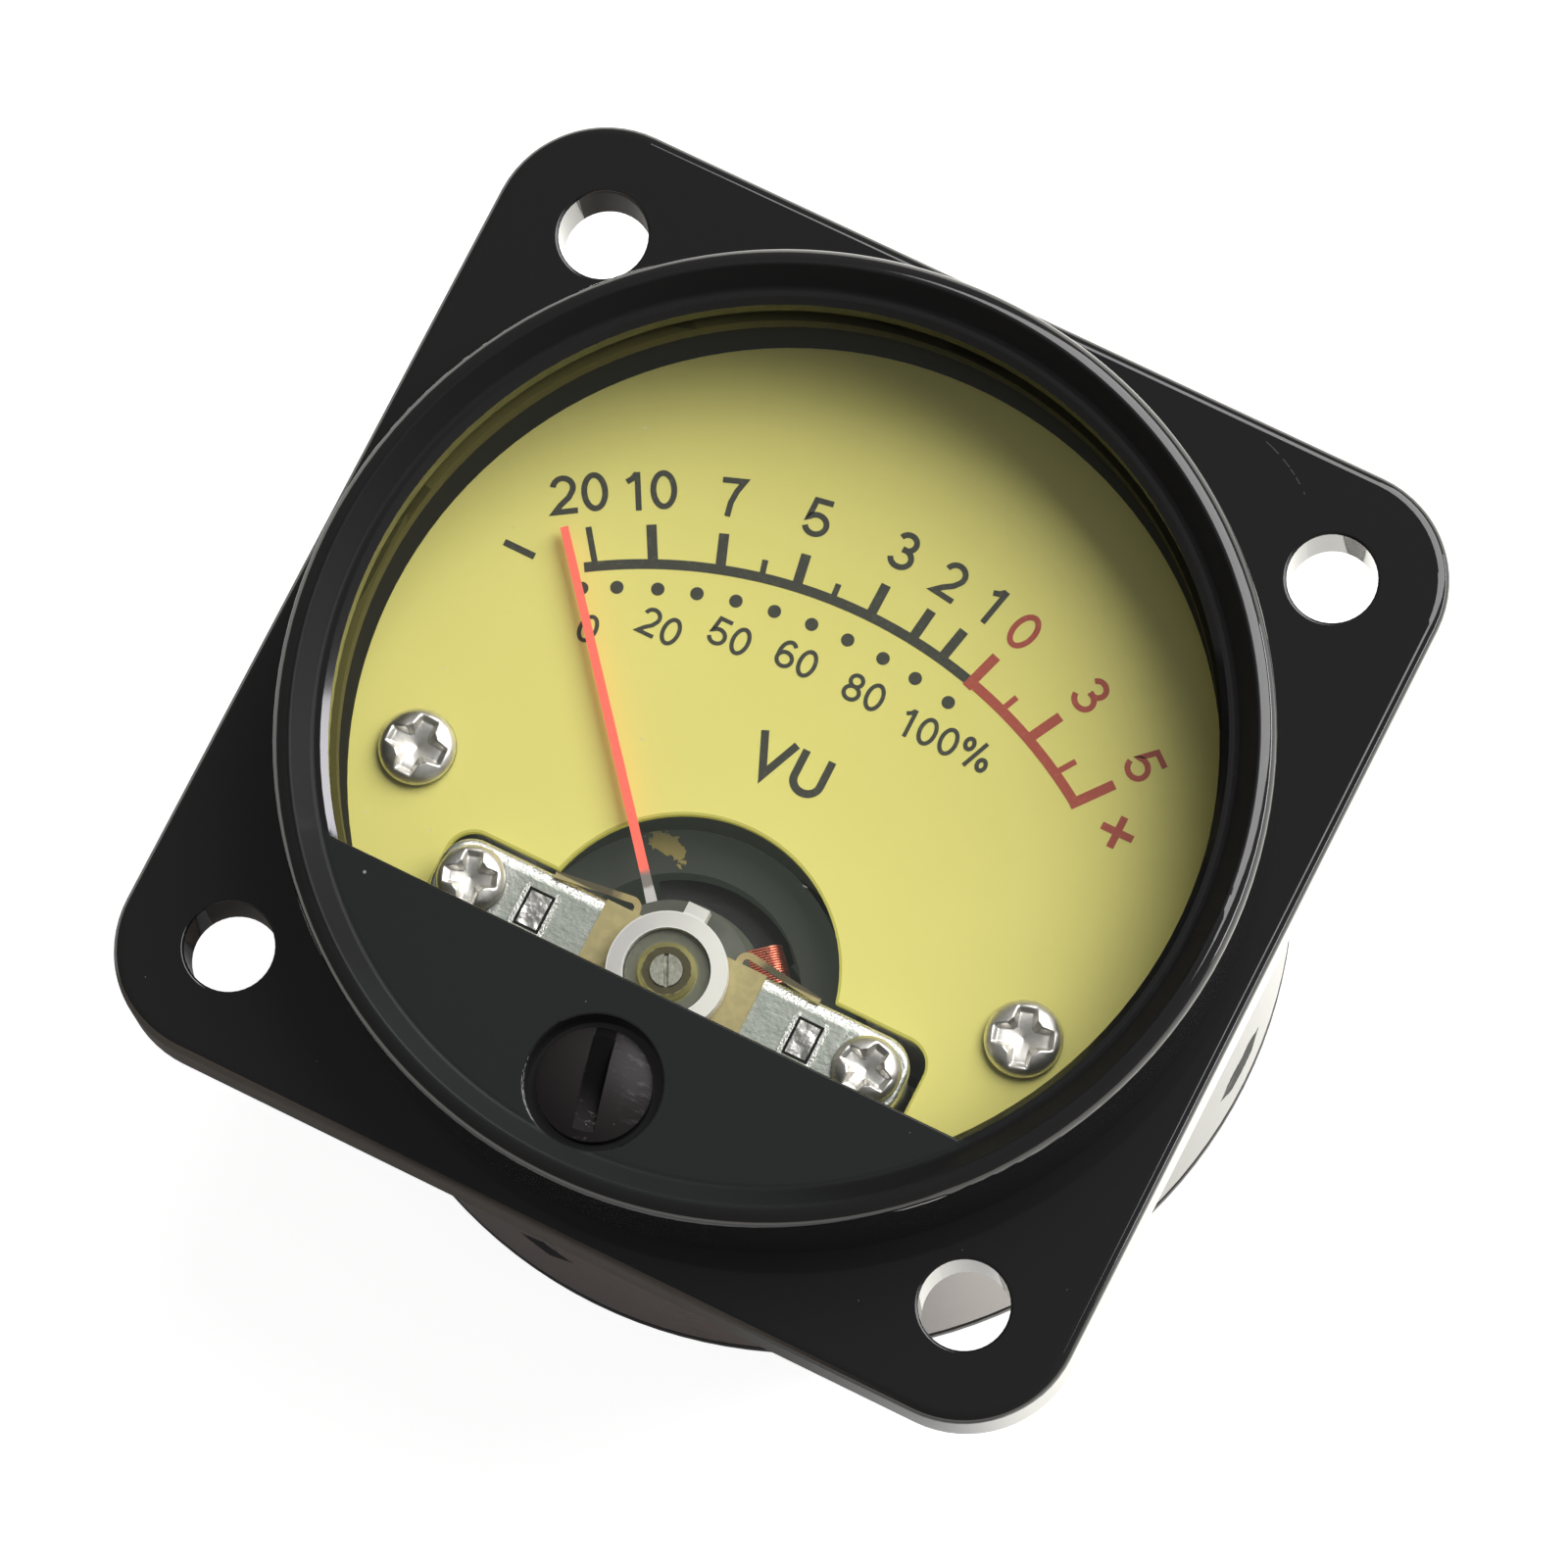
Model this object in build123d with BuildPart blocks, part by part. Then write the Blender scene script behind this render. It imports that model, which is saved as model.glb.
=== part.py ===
from build123d import *
from math import asin, cos, degrees, dist, radians, sin
import os

# Panel meter: a square flange with a round bezel and a D-shaped window, a dial lit from
# behind, a moving-coil movement with its zero adjuster, and a round can behind.
#
# Frame: millimetres. The origin is the centre of the four-hole pattern on the flange's
# back face, which is the mounting plane. +Z points out of the dial towards the reader,
# +Y is the dial's up and +X is to the reader's right.

os.makedirs("parts", exist_ok=True)


# Clearances and small finishing sizes
running_gap = 0.06          # radial play of a part that turns on or in another
seat_gap = 0.05             # play round a piece that drops into a seat
glue_gap = 0.03             # film between pieces that are glued or pressed
hole_play = 0.10            # radial play of a clearance hole round a screw or a pin
over = 1.0                  # how far a cutting tool runs past what it cuts

# Front shell: flange, bezel, lower panel and rear spigot
flange_side = 45.0          # the size that the round parts behind and in front follow
flange_thickness = 3.0
flange_corner_radius = 5.0
flange_edge_radius = 0.5
hole_inset = 5.0            # hole's centre to the flange's edge
hole_radius = 1.95
hole_edge_radius = 0.15
bezel_inset = 1.35          # bezel's top edge to the flange's edge
bezel_draft = 0.15          # how much wider the bezel is at the flange
bezel_height = 5.9          # above the flange's front face
bezel_edge_radius = 0.7
rim_inner_radius = 0.15
slope_foot_fillet = 0.3
rim_width = 0.8             # flat top of the bezel
slope_run = 0.85            # inner slope of the bezel, down to the lower panel
panel_drop = 0.8            # lower panel's face below the rim
panel_thickness = 1.2
window_lip = 0.7            # how far the window's lip stands into the bore
window_base_drop = 1.6      # window's straight lower edge below the pivot line
window_lip_chamfer = 0.3    # along the lip's round part
window_base_radius = 0.1    # along its straight edge
can_groove_depth = 0.3      # groove in the flange's back face for the can's edge
spigot_depth = 2.5
spigot_wall = 0.75
snap_tab_width = 4.2        # snap tabs at 12, 3, 6 and 9 o'clock
snap_tab_depth = 5.8
snap_barb_width = 3.2
snap_barb_height = 0.7
snap_barb_reach = 1.0
snap_window_gap = 0.15      # gap round a barb in its window
snap_z = -4.6               # middle of the barbs and of their windows

# Rear can and back cover
can_inset = 1.0             # can's wall to the flange's edge
can_wall = 1.1
can_depth = 20.3            # mounting plane to the back cover's outer face
can_neck_step = 0.3         # the can is this much narrower where it enters the groove
can_neck_height = 0.2       # below the flange
can_edge_chamfer = 0.3
cover_edge_radius = 0.4
cover_thickness = 1.2
cover_step_height = 1.0
cover_step_wall = 1.2
cover_post_radius = 1.5
cover_post_inset = 4.9      # post's centre to the can's bore
cover_post_height = 2.1     # from the cover to the terminal board

# Window lens and spacer ring
lens_thickness = 1.0
lens_overlap = 0.9          # lens below the window's straight edge
spacer_wall = 0.8           # wall seen between the window and the dial

# Dial
dial_face_z = 1.6
dial_thickness = 0.4
dial_cut_radius = 6.8
dial_cut_rise = 0.75        # cut-out's centre above the pivot line
dial_slot_margin = 0.3      # slot's end to the bridge bar's end
dial_slot_height = 4.75
dial_slot_radius = 1.2
dial_screw_inset = 4.95     # screw's centre to the dial's side
dial_screw_rise = 4.45      # screw's centre above the pivot line

# Cross-head screws
screw_shank_radius = 0.8
dial_screw_head_radius = 1.7
bridge_screw_head_radius = 1.5
screw_head_height = 0.95
screw_head_rounding = 0.45
recess_length = 1.9
recess_width = 0.48
recess_depth = 0.45
dial_screw_length = 4.5
bridge_screw_length = 5.0
board_screw_length = 4.0

# Pivot line and pointer
pivot_rise = 6.15           # pivot line above the zero screw
rest_angle = 39.9           # pointer at rest, to the left of the dial's up
stop_angle = 42.5           # pointer against either stop, from the dial's up
pointer_length = 20.6       # pivot to tip
pointer_width = 0.42
pointer_tip_width = 0.36
pointer_root_width = 0.62
pointer_root_length = 4.8
pointer_thickness = 0.2
pointer_z = 2.1             # underside of the pointer
pointer_eye_radius = 0.9
balance_arm_length = 2.4
balance_weight_arm = 2.1
balance_arm_width = 0.3
balance_weight_radius = 0.3
balance_weight_height = 0.3

# Hub and pivots
hub_radius = 0.75
hub_neck_radius = 0.45
hub_top_z = 2.42
pivot_pin_radius = 0.16
pivot_plate_radius = 0.9
pivot_plate_thickness = 0.2
lower_collar_radius = 0.5
lower_collar_height = 0.5

# Moving coil and its former
coil_half_width = 4.95      # from the pivot line to the winding's outer face
coil_half_depth = 0.85
coil_build = 0.45           # thickness of the winding
coil_top_z = 1.0
coil_bottom_z = -8.6
coil_corner_radius = 0.6
former_wall = 0.15

# Hairsprings
spring_turns = 3
spring_points = 12          # points on each turn of a spring's curve
spring_thickness = 0.1
spring_height = 0.18
upper_spring_z = 1.45
upper_spring_outer = 2.9
lower_spring_outer = 2.6
spring_stud = 0.36          # side of the square stud that holds a spring's outer end

# Magnet, spacers and yoke
core_radius = 3.9
core_end_gap = 0.3          # core to the former, above and below
yoke_inner_radius = 5.4
yoke_outer_radius = 7.3
yoke_top_z = -0.5
yoke_height = 8.5
spacer_height = 4.0
spacer_z = -5.8             # underside of the core spacers
stop_clearance = 0.5        # degrees left between the coil and a stop at each end

# Bridge bar and what it carries
bar_width = 3.6
bar_corner_radius = 1.4
bar_thickness = 0.7
bar_top_z = 3.6
bar_edge_radius = 0.22
bridge_screw_inset = 1.65   # screw's centre to the bar's end
post_inset = 0.9            # staked post's centre to the yoke's outside
post_tab_width = 0.95
post_tab_depth = 1.5
post_tab_proud = 0.15
post_shoulder_width = 1.6
post_shoulder_depth = 2.2
burr_margin = 0.35
burr_height = 0.12
clip_half_length = 3.8
clip_thickness = 0.15
clip_arm_width = 0.3
clip_arm_gap = 0.35         # bar's edge to the arm, at its inner end
clip_arm_drop = 0.5         # the arm's outer end is this much nearer to the pivot
clip_arm_x = 2.45
clip_arm_end_x = 6.3
clip_arm_bend = 0.35
bush_radius = 1.82
bush_stem_radius = 1.3
bush_top_z = 4.25
jewel_screw_radius = 0.7
jewel_screw_top_z = 4.75
jewel_screw_bottom_z = 2.5
jewel_cup_depth = 0.5
jewel_cup_gap = 0.08        # radial play of a pivot in its cup
pivot_pin_entry = 0.35      # how far a pivot stands in its cup
lower_pin_length = 0.9
lower_screw_length = 3.05
jewel_slot_width = 0.2
jewel_slot_depth = 0.25
jewel_slot_lean = 26.0      # degrees to the left of the dial's up
nut_radius = 1.25
nut_height = 0.4
nut_chamfer = 0.18
washer_radius = 3.45
washer_thickness = 0.3
washer_base_drop = 1.8      # washer's straight edge below the pivot line

# Zero lever
lever_bottom_z = 3.85
lever_thickness = 0.75
lever_ring_radius = 2.6
lever_tab_width = 1.0
lever_tab_reach = 0.5
lever_arm_root = 2.2        # where the arm and the tab start inside the ring
lever_arm_width = 2.6
lever_arm_thickness = 0.6
lever_arm_length = 6.6
fork_gap = 0.15             # play on each side of the eccentric pin
fork_depth_gap = 0.2

# Zero screw
zero_recess_radius = 2.9
zero_recess_depth = 0.9
zero_recess_edge_radius = 0.12
zero_head_radius = 2.45
zero_head_edge = 0.35       # straight edge of the head below its dome
zero_dome_height = 0.65
zero_head_gap = 0.05
zero_slot_width = 0.95
zero_slot_floor = 0.55      # slot's floor above the head's underside
zero_slot_lean = 14.0       # degrees to the left of the dial's up
zero_boss_radius = 3.4
zero_boss_depth = 0.9
zero_shank_radius = 1.25
zero_groove_radius = 0.95
zero_groove_height = 0.5
zero_groove_gap = 0.1
zero_shank_end_z = 5.2
zero_clip_radius = 1.9
zero_clip_thickness = 0.35
zero_clip_mouth = 1.4
eccentric_offset = 0.7
eccentric_radius = 0.5
eccentric_end_z = 3.8

# Movement frame
frame_base_z = -12.0
frame_base_thickness = 1.6
frame_base_radius = 8.2
frame_arm_width = 5.0
frame_ring_inner = 5.6
frame_arm_margin = 0.4
frame_post_radius = 1.6
frame_post_gap = 0.5        # between a post and the yoke
frame_leg_radius = 1.9

# Terminal board, terminals and lamps
board_gap = 0.6             # board's edge to the can's bore
board_thickness = 1.6
terminal_x = 5.0
terminal_y = 9.0
terminal_radius = 0.6
terminal_shank_radius = 0.8  # through the board and the cover's hole
terminal_shank_proud = 0.2   # shank's end beyond the cover's outer face
terminal_reach = 4.5        # beyond the cover's outer face
terminal_tip_chamfer = 0.15
terminal_collar_radius = 1.1
terminal_collar_height = 0.6
terminal_solder_radius = 0.95
terminal_solder_height = 0.6
lamp_x = 9.5
lamp_y = 1.0
lamp_bulb_radius = 1.6
lamp_bulb_height = 6.0
lamp_holder_radius = 2.4
lamp_holder_height = 5.9
lamp_flange_radius = 2.9
lamp_flange_height = 0.8
lamp_hole_gap = 0.6

# Light box behind the dial
box_wall = 1.2
box_depth = 9.2
box_base_rise = 2.5         # tray's lower side above the pivot line
box_cavity_rise = 6.6       # cavity's lower side above the pivot line
box_movement_gap = 1.0      # round the yoke
box_rim_width = 0.9
box_rim_height = 2.2
box_leg_radius = 1.2
box_leg_inset = 2.2         # upper leg's centre to the box's edge
box_leg_angle = 54.5        # from the dial's right


# Radii and widths worked out from the sizes above
hole_spacing = flange_side - 2 * hole_inset
bezel_radius = flange_side / 2 - bezel_inset
can_radius = flange_side / 2 - can_inset
can_bore_radius = can_radius - can_wall
spigot_radius = can_bore_radius - hole_play
shell_bore_radius = spigot_radius - spigot_wall
slope_foot_radius = bezel_radius - rim_width - slope_run
window_radius = shell_bore_radius - window_lip
lens_radius = shell_bore_radius - seat_gap
dial_wall_radius = lens_radius - spacer_wall
dial_radius = shell_bore_radius - hole_play
box_radius = dial_radius - seat_gap
board_radius = can_bore_radius - board_gap
cover_post_circle = can_bore_radius - cover_post_inset
post_x = yoke_outer_radius - post_inset
bridge_screw_x = yoke_outer_radius + frame_post_gap + frame_post_radius
bar_length = 2 * (bridge_screw_x + bridge_screw_inset)
dial_slot_length = bar_length + 2 * dial_slot_margin
former_half_width = coil_half_width - coil_build - glue_gap
former_inner_half_width = former_half_width - former_wall
coil_side_angle = degrees(asin(coil_half_depth / former_inner_half_width))
spacer_half_angle = 90 - stop_angle - coil_side_angle - stop_clearance
box_movement_radius = yoke_outer_radius + box_movement_gap
half_plane = 4 * flange_side

# Places across the dial
zero_screw_y = zero_recess_radius - shell_bore_radius
pivot_y = zero_screw_y + pivot_rise
eccentric_y = zero_screw_y + eccentric_offset
fork_floor = pivot_y - eccentric_y - eccentric_radius - fork_depth_gap
window_base_y = pivot_y - window_base_drop
lens_base_y = window_base_y - lens_overlap
washer_base_y = pivot_y - washer_base_drop
dial_cut_y = pivot_y + dial_cut_rise
dial_screw_x = dial_radius - dial_screw_inset
dial_screw_y = pivot_y + dial_screw_rise
bar_edge_y = pivot_y + bar_width / 2
clip_arm_y = bar_edge_y + clip_arm_gap + clip_arm_width / 2
box_base_y = pivot_y + box_base_rise
box_cavity_base_y = pivot_y + box_cavity_rise
box_leg_circle = box_radius - box_leg_inset
box_leg_x = box_leg_circle * cos(radians(box_leg_angle))
box_leg_y = box_leg_circle * sin(radians(box_leg_angle))

# Heights worked out from the sizes above
flange_face_z = flange_thickness
rim_z = flange_face_z + bezel_height
panel_face_z = rim_z - panel_drop
panel_back_z = panel_face_z - panel_thickness
cover_top_z = -can_depth + cover_thickness
lens_back_z = panel_back_z - lens_thickness
dial_back_z = dial_face_z - dial_thickness
bar_bottom_z = bar_top_z - bar_thickness
clip_top_z = bar_top_z + clip_thickness
washer_bottom_z = bar_bottom_z - washer_thickness
board_bottom_z = cover_top_z + cover_post_height
board_top_z = board_bottom_z + board_thickness
terminal_end_z = -can_depth - terminal_reach
hub_bottom_z = coil_top_z + pivot_plate_thickness
coil_height = coil_top_z - coil_bottom_z
coil_middle_z = (coil_top_z + coil_bottom_z) / 2
former_height = coil_height - 2 * (coil_build + glue_gap)
core_height = former_height - 2 * (former_wall + core_end_gap)
yoke_bottom_z = yoke_top_z - yoke_height
lower_collar_z = coil_bottom_z - pivot_plate_thickness - lower_collar_height
lower_pin_end_z = lower_collar_z - lower_pin_length
lower_screw_top_z = lower_pin_end_z + pivot_pin_entry
frame_base_top_z = frame_base_z + frame_base_thickness
zero_head_z = panel_face_z - zero_recess_depth + zero_head_gap
zero_boss_z = panel_back_z - zero_boss_depth
zero_groove_top_z = zero_boss_z - zero_groove_gap
zero_groove_bottom_z = zero_groove_top_z - zero_groove_height
lamp_holder_top_z = board_top_z + lamp_holder_height
box_floor_z = dial_back_z - box_depth

# Places of the repeated pieces
dial_screw_points = [(side * dial_screw_x, dial_screw_y) for side in (-1, 1)]
bridge_screw_points = [(side * bridge_screw_x, pivot_y) for side in (-1, 1)]
post_points = [(side * post_x, pivot_y) for side in (-1, 1)]
coil_terminal_points = [(side * terminal_x, -terminal_y) for side in (-1, 1)]
lamp_terminal_points = [(side * terminal_x, terminal_y) for side in (-1, 1)]
lamp_points = [(side * lamp_x, lamp_y) for side in (-1, 1)]
box_leg_points = dial_screw_points + [(side * box_leg_x, box_leg_y) for side in (-1, 1)]

# Vertical plane of the coil at rest, square to the pointer
coil_plane = Plane(
    origin=(0, pivot_y, 0),
    x_dir=(cos(radians(rest_angle)), sin(radians(rest_angle)), 0),
    z_dir=(sin(radians(rest_angle)), -cos(radians(rest_angle)), 0),
)


def pivot_plane(height, angle=0.0):
    """A level plane on the pivot line, its X turned by an angle in degrees."""
    direction = (cos(radians(angle)), sin(radians(angle)), 0)
    return Plane(origin=(0, pivot_y, height), x_dir=direction, z_dir=(0, 0, 1))


def rings_at(part, radius, height):
    """The round edges of a part that have a given radius and height."""
    return part.edges().filter_by(GeomType.CIRCLE).filter_by(
        lambda edge: abs(edge.radius - radius) < 1e-3 and abs(edge.center().Z - height) < 1e-3
    )


def cross_head_screws(points, seat_z, head_radius, length, up=1):
    """Cross-head screws, one solid each, with their heads on a seat that faces up or down."""
    crown_z = seat_z + up * screw_head_height
    with BuildPart() as screws:
        with BuildSketch(Plane.XY.offset(seat_z)):
            with Locations(*points):
                Circle(head_radius)
        extrude(amount=up * screw_head_height)
        fillet(rings_at(screws, head_radius, crown_z), screw_head_rounding)
        with BuildSketch(Plane.XY.offset(seat_z)):
            with Locations(*points):
                Circle(screw_shank_radius)
        extrude(amount=-up * length)
        with BuildSketch(Plane.XY.offset(crown_z)):
            with Locations(*points):
                Rectangle(recess_length, recess_width)
                Rectangle(recess_width, recess_length)
        extrude(amount=-up * recess_depth, mode=Mode.SUBTRACT)
    return screws.part


def hairspring(inner_radius, outer_radius, height, end_angle=270.0):
    """A flat spiral ribbon about the pivot line, its outer end at an angle in degrees."""
    steps = spring_turns * spring_points
    faces = []
    for side in (-spring_thickness / 2, spring_thickness / 2):
        points = []
        for step in range(steps + 1):
            angle = radians(end_angle + 360 * (step - steps) / spring_points)
            radius = inner_radius + (outer_radius - inner_radius) * step / steps + side
            points.append((radius * cos(angle), radius * sin(angle)))
        faces.append(points)
    inner_face, outer_face = faces
    gaps = [dist(near, far) for near, far in zip(outer_face, inner_face[spring_points:])]
    print(f"hairspring at z {height:.2f} mm: least gap to itself {min(gaps):.2f} mm")
    with BuildPart() as spring:
        with BuildSketch(pivot_plane(height)):
            with BuildLine():
                Spline(*inner_face)
                Spline(*outer_face)
                Line(inner_face[0], outer_face[0])
                Line(inner_face[-1], outer_face[-1])
            make_face()
        extrude(amount=spring_height)
    return spring.part


# Front shell: flange, bezel, lower panel, spigot and snap tabs in one moulding
with BuildPart() as front_shell:
    with BuildSketch(Plane.XY):
        RectangleRounded(flange_side, flange_side, flange_corner_radius)
    extrude(amount=flange_thickness)
    fillet(front_shell.edges().group_by(Axis.Z)[-1], flange_edge_radius)
    bezel_outline = [
        (0, 0),
        (bezel_radius + bezel_draft, 0),
        (bezel_radius, rim_z),
        (bezel_radius - rim_width, rim_z),
        (slope_foot_radius, panel_face_z),
        (0, panel_face_z),
    ]
    with BuildSketch(Plane.XZ):
        with BuildLine():
            FilletPolyline(*bezel_outline, radius=[0, bezel_edge_radius, rim_inner_radius, slope_foot_fillet])
            Line(bezel_outline[-1], bezel_outline[0])
        make_face()
    revolve(axis=Axis.Z)
    with BuildSketch(Plane.XY):
        Circle(can_radius + hole_play)
    extrude(amount=can_groove_depth, mode=Mode.SUBTRACT)
    with BuildSketch(Plane.XY.offset(can_groove_depth)):
        Circle(spigot_radius)
    extrude(amount=-can_groove_depth - spigot_depth)
    with BuildSketch(Plane.XY):
        Rectangle(2 * can_radius, snap_tab_width)
        Rectangle(snap_tab_width, 2 * can_radius)
        Circle(spigot_radius, mode=Mode.INTERSECT)
    extrude(amount=-snap_tab_depth)
    with BuildSketch(Plane.XY.offset(snap_z - snap_barb_height / 2)):
        Rectangle(2 * can_radius, snap_barb_width)
        Rectangle(snap_barb_width, 2 * can_radius)
        Circle(spigot_radius + snap_barb_reach, mode=Mode.INTERSECT)
    extrude(amount=snap_barb_height)
    with BuildSketch(Plane.XY.offset(panel_back_z)):
        Circle(shell_bore_radius)
    extrude(amount=-panel_back_z - snap_tab_depth - over, mode=Mode.SUBTRACT)
    with BuildSketch(Plane.XY.offset(panel_back_z)):
        with Locations((0, zero_screw_y)):
            Circle(zero_boss_radius)
    extrude(amount=-zero_boss_depth)
    with BuildSketch(Plane.XY.offset(panel_face_z)):
        Circle(window_radius)
        with Locations((0, window_base_y + half_plane / 2)):
            Rectangle(half_plane, half_plane, mode=Mode.INTERSECT)
    extrude(amount=-panel_thickness, mode=Mode.SUBTRACT)
    chamfer(rings_at(front_shell, window_radius, panel_face_z), window_lip_chamfer)
    top_straight_edges = front_shell.edges().filter_by(Axis.X).group_by(Axis.Z)[-1]
    fillet(top_straight_edges.sort_by(SortBy.LENGTH)[-1], window_base_radius)
    with Locations((0, zero_screw_y, panel_face_z)):
        CounterBoreHole(
            radius=zero_shank_radius + running_gap,
            counter_bore_radius=zero_recess_radius,
            counter_bore_depth=zero_recess_depth,
            depth=panel_thickness + zero_boss_depth + over,
        )
    fillet(rings_at(front_shell, zero_recess_radius, panel_face_z), zero_recess_edge_radius)
    with BuildSketch(Plane.XY.offset(flange_face_z)):
        with GridLocations(hole_spacing, hole_spacing, 2, 2):
            Circle(hole_radius)
    extrude(amount=-flange_thickness, mode=Mode.SUBTRACT)
    fillet(rings_at(front_shell, hole_radius, flange_face_z), hole_edge_radius)
front_shell.part.label = "front_shell"
export_step(front_shell.part, "parts/front_shell.step")

# Clear window, dropped in from behind and cut off above the zero screw's boss
with BuildPart() as window_lens:
    with BuildSketch(Plane.XY.offset(lens_back_z)):
        Circle(lens_radius)
        with Locations((0, lens_base_y + half_plane / 2)):
            Rectangle(half_plane, half_plane, mode=Mode.INTERSECT)
    extrude(amount=lens_thickness)
window_lens.part.label = "window_lens"
export_step(window_lens.part, "parts/window_lens.step")

# Spacer ring between the window and the dial
with BuildPart() as spacer_ring:
    with BuildSketch(Plane.XY.offset(dial_face_z)):
        Circle(lens_radius)
        Circle(dial_wall_radius, mode=Mode.SUBTRACT)
    extrude(amount=lens_back_z - dial_face_z)
spacer_ring.part.label = "spacer_ring"
export_step(spacer_ring.part, "parts/spacer_ring.step")

# Zero screw: domed head, grooved shank and eccentric pin in one turned piece
with BuildPart() as zero_screw:
    dome_radius = (zero_dome_height**2 + zero_head_radius**2) / (2 * zero_dome_height)
    dome_half_angle = asin(zero_head_radius / dome_radius) / 2
    dome_edge_z = zero_head_z + zero_head_edge
    crown_z = dome_edge_z + zero_dome_height
    dome_middle = (
        dome_radius * sin(dome_half_angle),
        crown_z - dome_radius * (1 - cos(dome_half_angle)),
    )
    with BuildSketch(Plane.XZ.offset(-zero_screw_y)):
        with BuildLine():
            Polyline(
                (0, crown_z),
                (0, zero_shank_end_z),
                (zero_shank_radius, zero_shank_end_z),
                (zero_shank_radius, zero_groove_bottom_z),
                (zero_groove_radius, zero_groove_bottom_z),
                (zero_groove_radius, zero_groove_top_z),
                (zero_shank_radius, zero_groove_top_z),
                (zero_shank_radius, zero_head_z),
                (zero_head_radius, zero_head_z),
                (zero_head_radius, dome_edge_z),
            )
            ThreePointArc((zero_head_radius, dome_edge_z), dome_middle, (0, crown_z))
        make_face()
    revolve(axis=Axis((0, zero_screw_y, 0), (0, 0, 1)))
    with BuildSketch(Plane.XY.offset(zero_head_z + zero_slot_floor)):
        with Locations(Location((0, zero_screw_y), zero_slot_lean)):
            Rectangle(zero_slot_width, 3 * zero_head_radius)
    extrude(amount=zero_head_edge + zero_dome_height, mode=Mode.SUBTRACT)
    with BuildSketch(Plane.XY.offset(eccentric_end_z)):
        with Locations((0, eccentric_y)):
            Circle(eccentric_radius)
    extrude(amount=zero_shank_end_z - eccentric_end_z)
zero_screw.part.label = "zero_screw"
export_step(zero_screw.part, "parts/zero_screw.step")

# Open clip in the zero screw's groove
with BuildPart() as zero_screw_clip:
    with BuildSketch(Plane.XY.offset(zero_groove_bottom_z + zero_groove_gap)):
        with Locations((0, zero_screw_y)):
            Circle(zero_clip_radius)
            Circle(zero_groove_radius + glue_gap, mode=Mode.SUBTRACT)
        with Locations((zero_clip_radius, zero_screw_y)):
            Rectangle(2 * zero_clip_radius, zero_clip_mouth, mode=Mode.SUBTRACT)
    extrude(amount=zero_clip_thickness)
zero_screw_clip.part.label = "zero_screw_clip"
export_step(zero_screw_clip.part, "parts/zero_screw_clip.step")

# Dial plate, cut out round the movement
with BuildPart() as dial_plate:
    with BuildSketch(Plane.XY.offset(dial_back_z)):
        Circle(dial_radius)
        with Locations((0, dial_cut_y)):
            Circle(dial_cut_radius, mode=Mode.SUBTRACT)
        with Locations((0, pivot_y)):
            RectangleRounded(dial_slot_length, dial_slot_height, dial_slot_radius, mode=Mode.SUBTRACT)
        with Locations(*dial_screw_points):
            Circle(screw_shank_radius + hole_play, mode=Mode.SUBTRACT)
    extrude(amount=dial_thickness)
dial_plate.part.label = "dial_plate"
export_step(dial_plate.part, "parts/dial_plate.step")

# The two screws that hold the dial to the light box
with BuildPart() as dial_screws:
    add(cross_head_screws(dial_screw_points, dial_face_z, dial_screw_head_radius, dial_screw_length))
dial_screws.part.label = "dial_screws"
export_step(dial_screws.part, "parts/dial_screws.step")

# Bridge bar, with a raised burr round each staked post
with BuildPart() as bridge_bar:
    with BuildSketch(pivot_plane(bar_bottom_z)):
        RectangleRounded(bar_length, bar_width, bar_corner_radius)
    extrude(amount=bar_thickness)
    fillet(bridge_bar.edges().group_by(Axis.Z)[-1], bar_edge_radius)
    with BuildSketch(Plane.XY.offset(bar_top_z)):
        with Locations(*post_points):
            RectangleRounded(
                post_tab_width + 2 * burr_margin, post_tab_depth + 2 * burr_margin, burr_margin
            )
    extrude(amount=burr_height)
    with BuildSketch(Plane.XY.offset(bar_bottom_z)):
        with Locations((0, pivot_y)):
            Circle(bush_stem_radius + glue_gap)
        with Locations(*bridge_screw_points):
            Circle(screw_shank_radius + hole_play)
        with Locations(*post_points):
            Rectangle(post_tab_width + 2 * seat_gap, post_tab_depth + 2 * seat_gap)
    extrude(amount=bar_thickness + burr_height, mode=Mode.SUBTRACT)
bridge_bar.part.label = "bridge_bar"
export_step(bridge_bar.part, "parts/bridge_bar.step")

# The two screws that hold the bar to the movement frame
with BuildPart() as bridge_screws:
    add(cross_head_screws(bridge_screw_points, bar_top_z, bridge_screw_head_radius, bridge_screw_length))
bridge_screws.part.label = "bridge_screws"
export_step(bridge_screws.part, "parts/bridge_screws.step")

# Square posts that stand on the yoke and are staked through the bar
with BuildPart() as bridge_posts:
    with BuildSketch(Plane.XY.offset(yoke_top_z)):
        with Locations(*post_points):
            Rectangle(post_shoulder_width, post_shoulder_depth)
    extrude(amount=bar_bottom_z - yoke_top_z)
    with BuildSketch(Plane.XY.offset(bar_bottom_z)):
        with Locations(*post_points):
            Rectangle(post_tab_width, post_tab_depth)
    extrude(amount=bar_thickness + post_tab_proud)
bridge_posts.part.label = "bridge_posts"
export_step(bridge_posts.part, "parts/bridge_posts.step")

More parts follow.
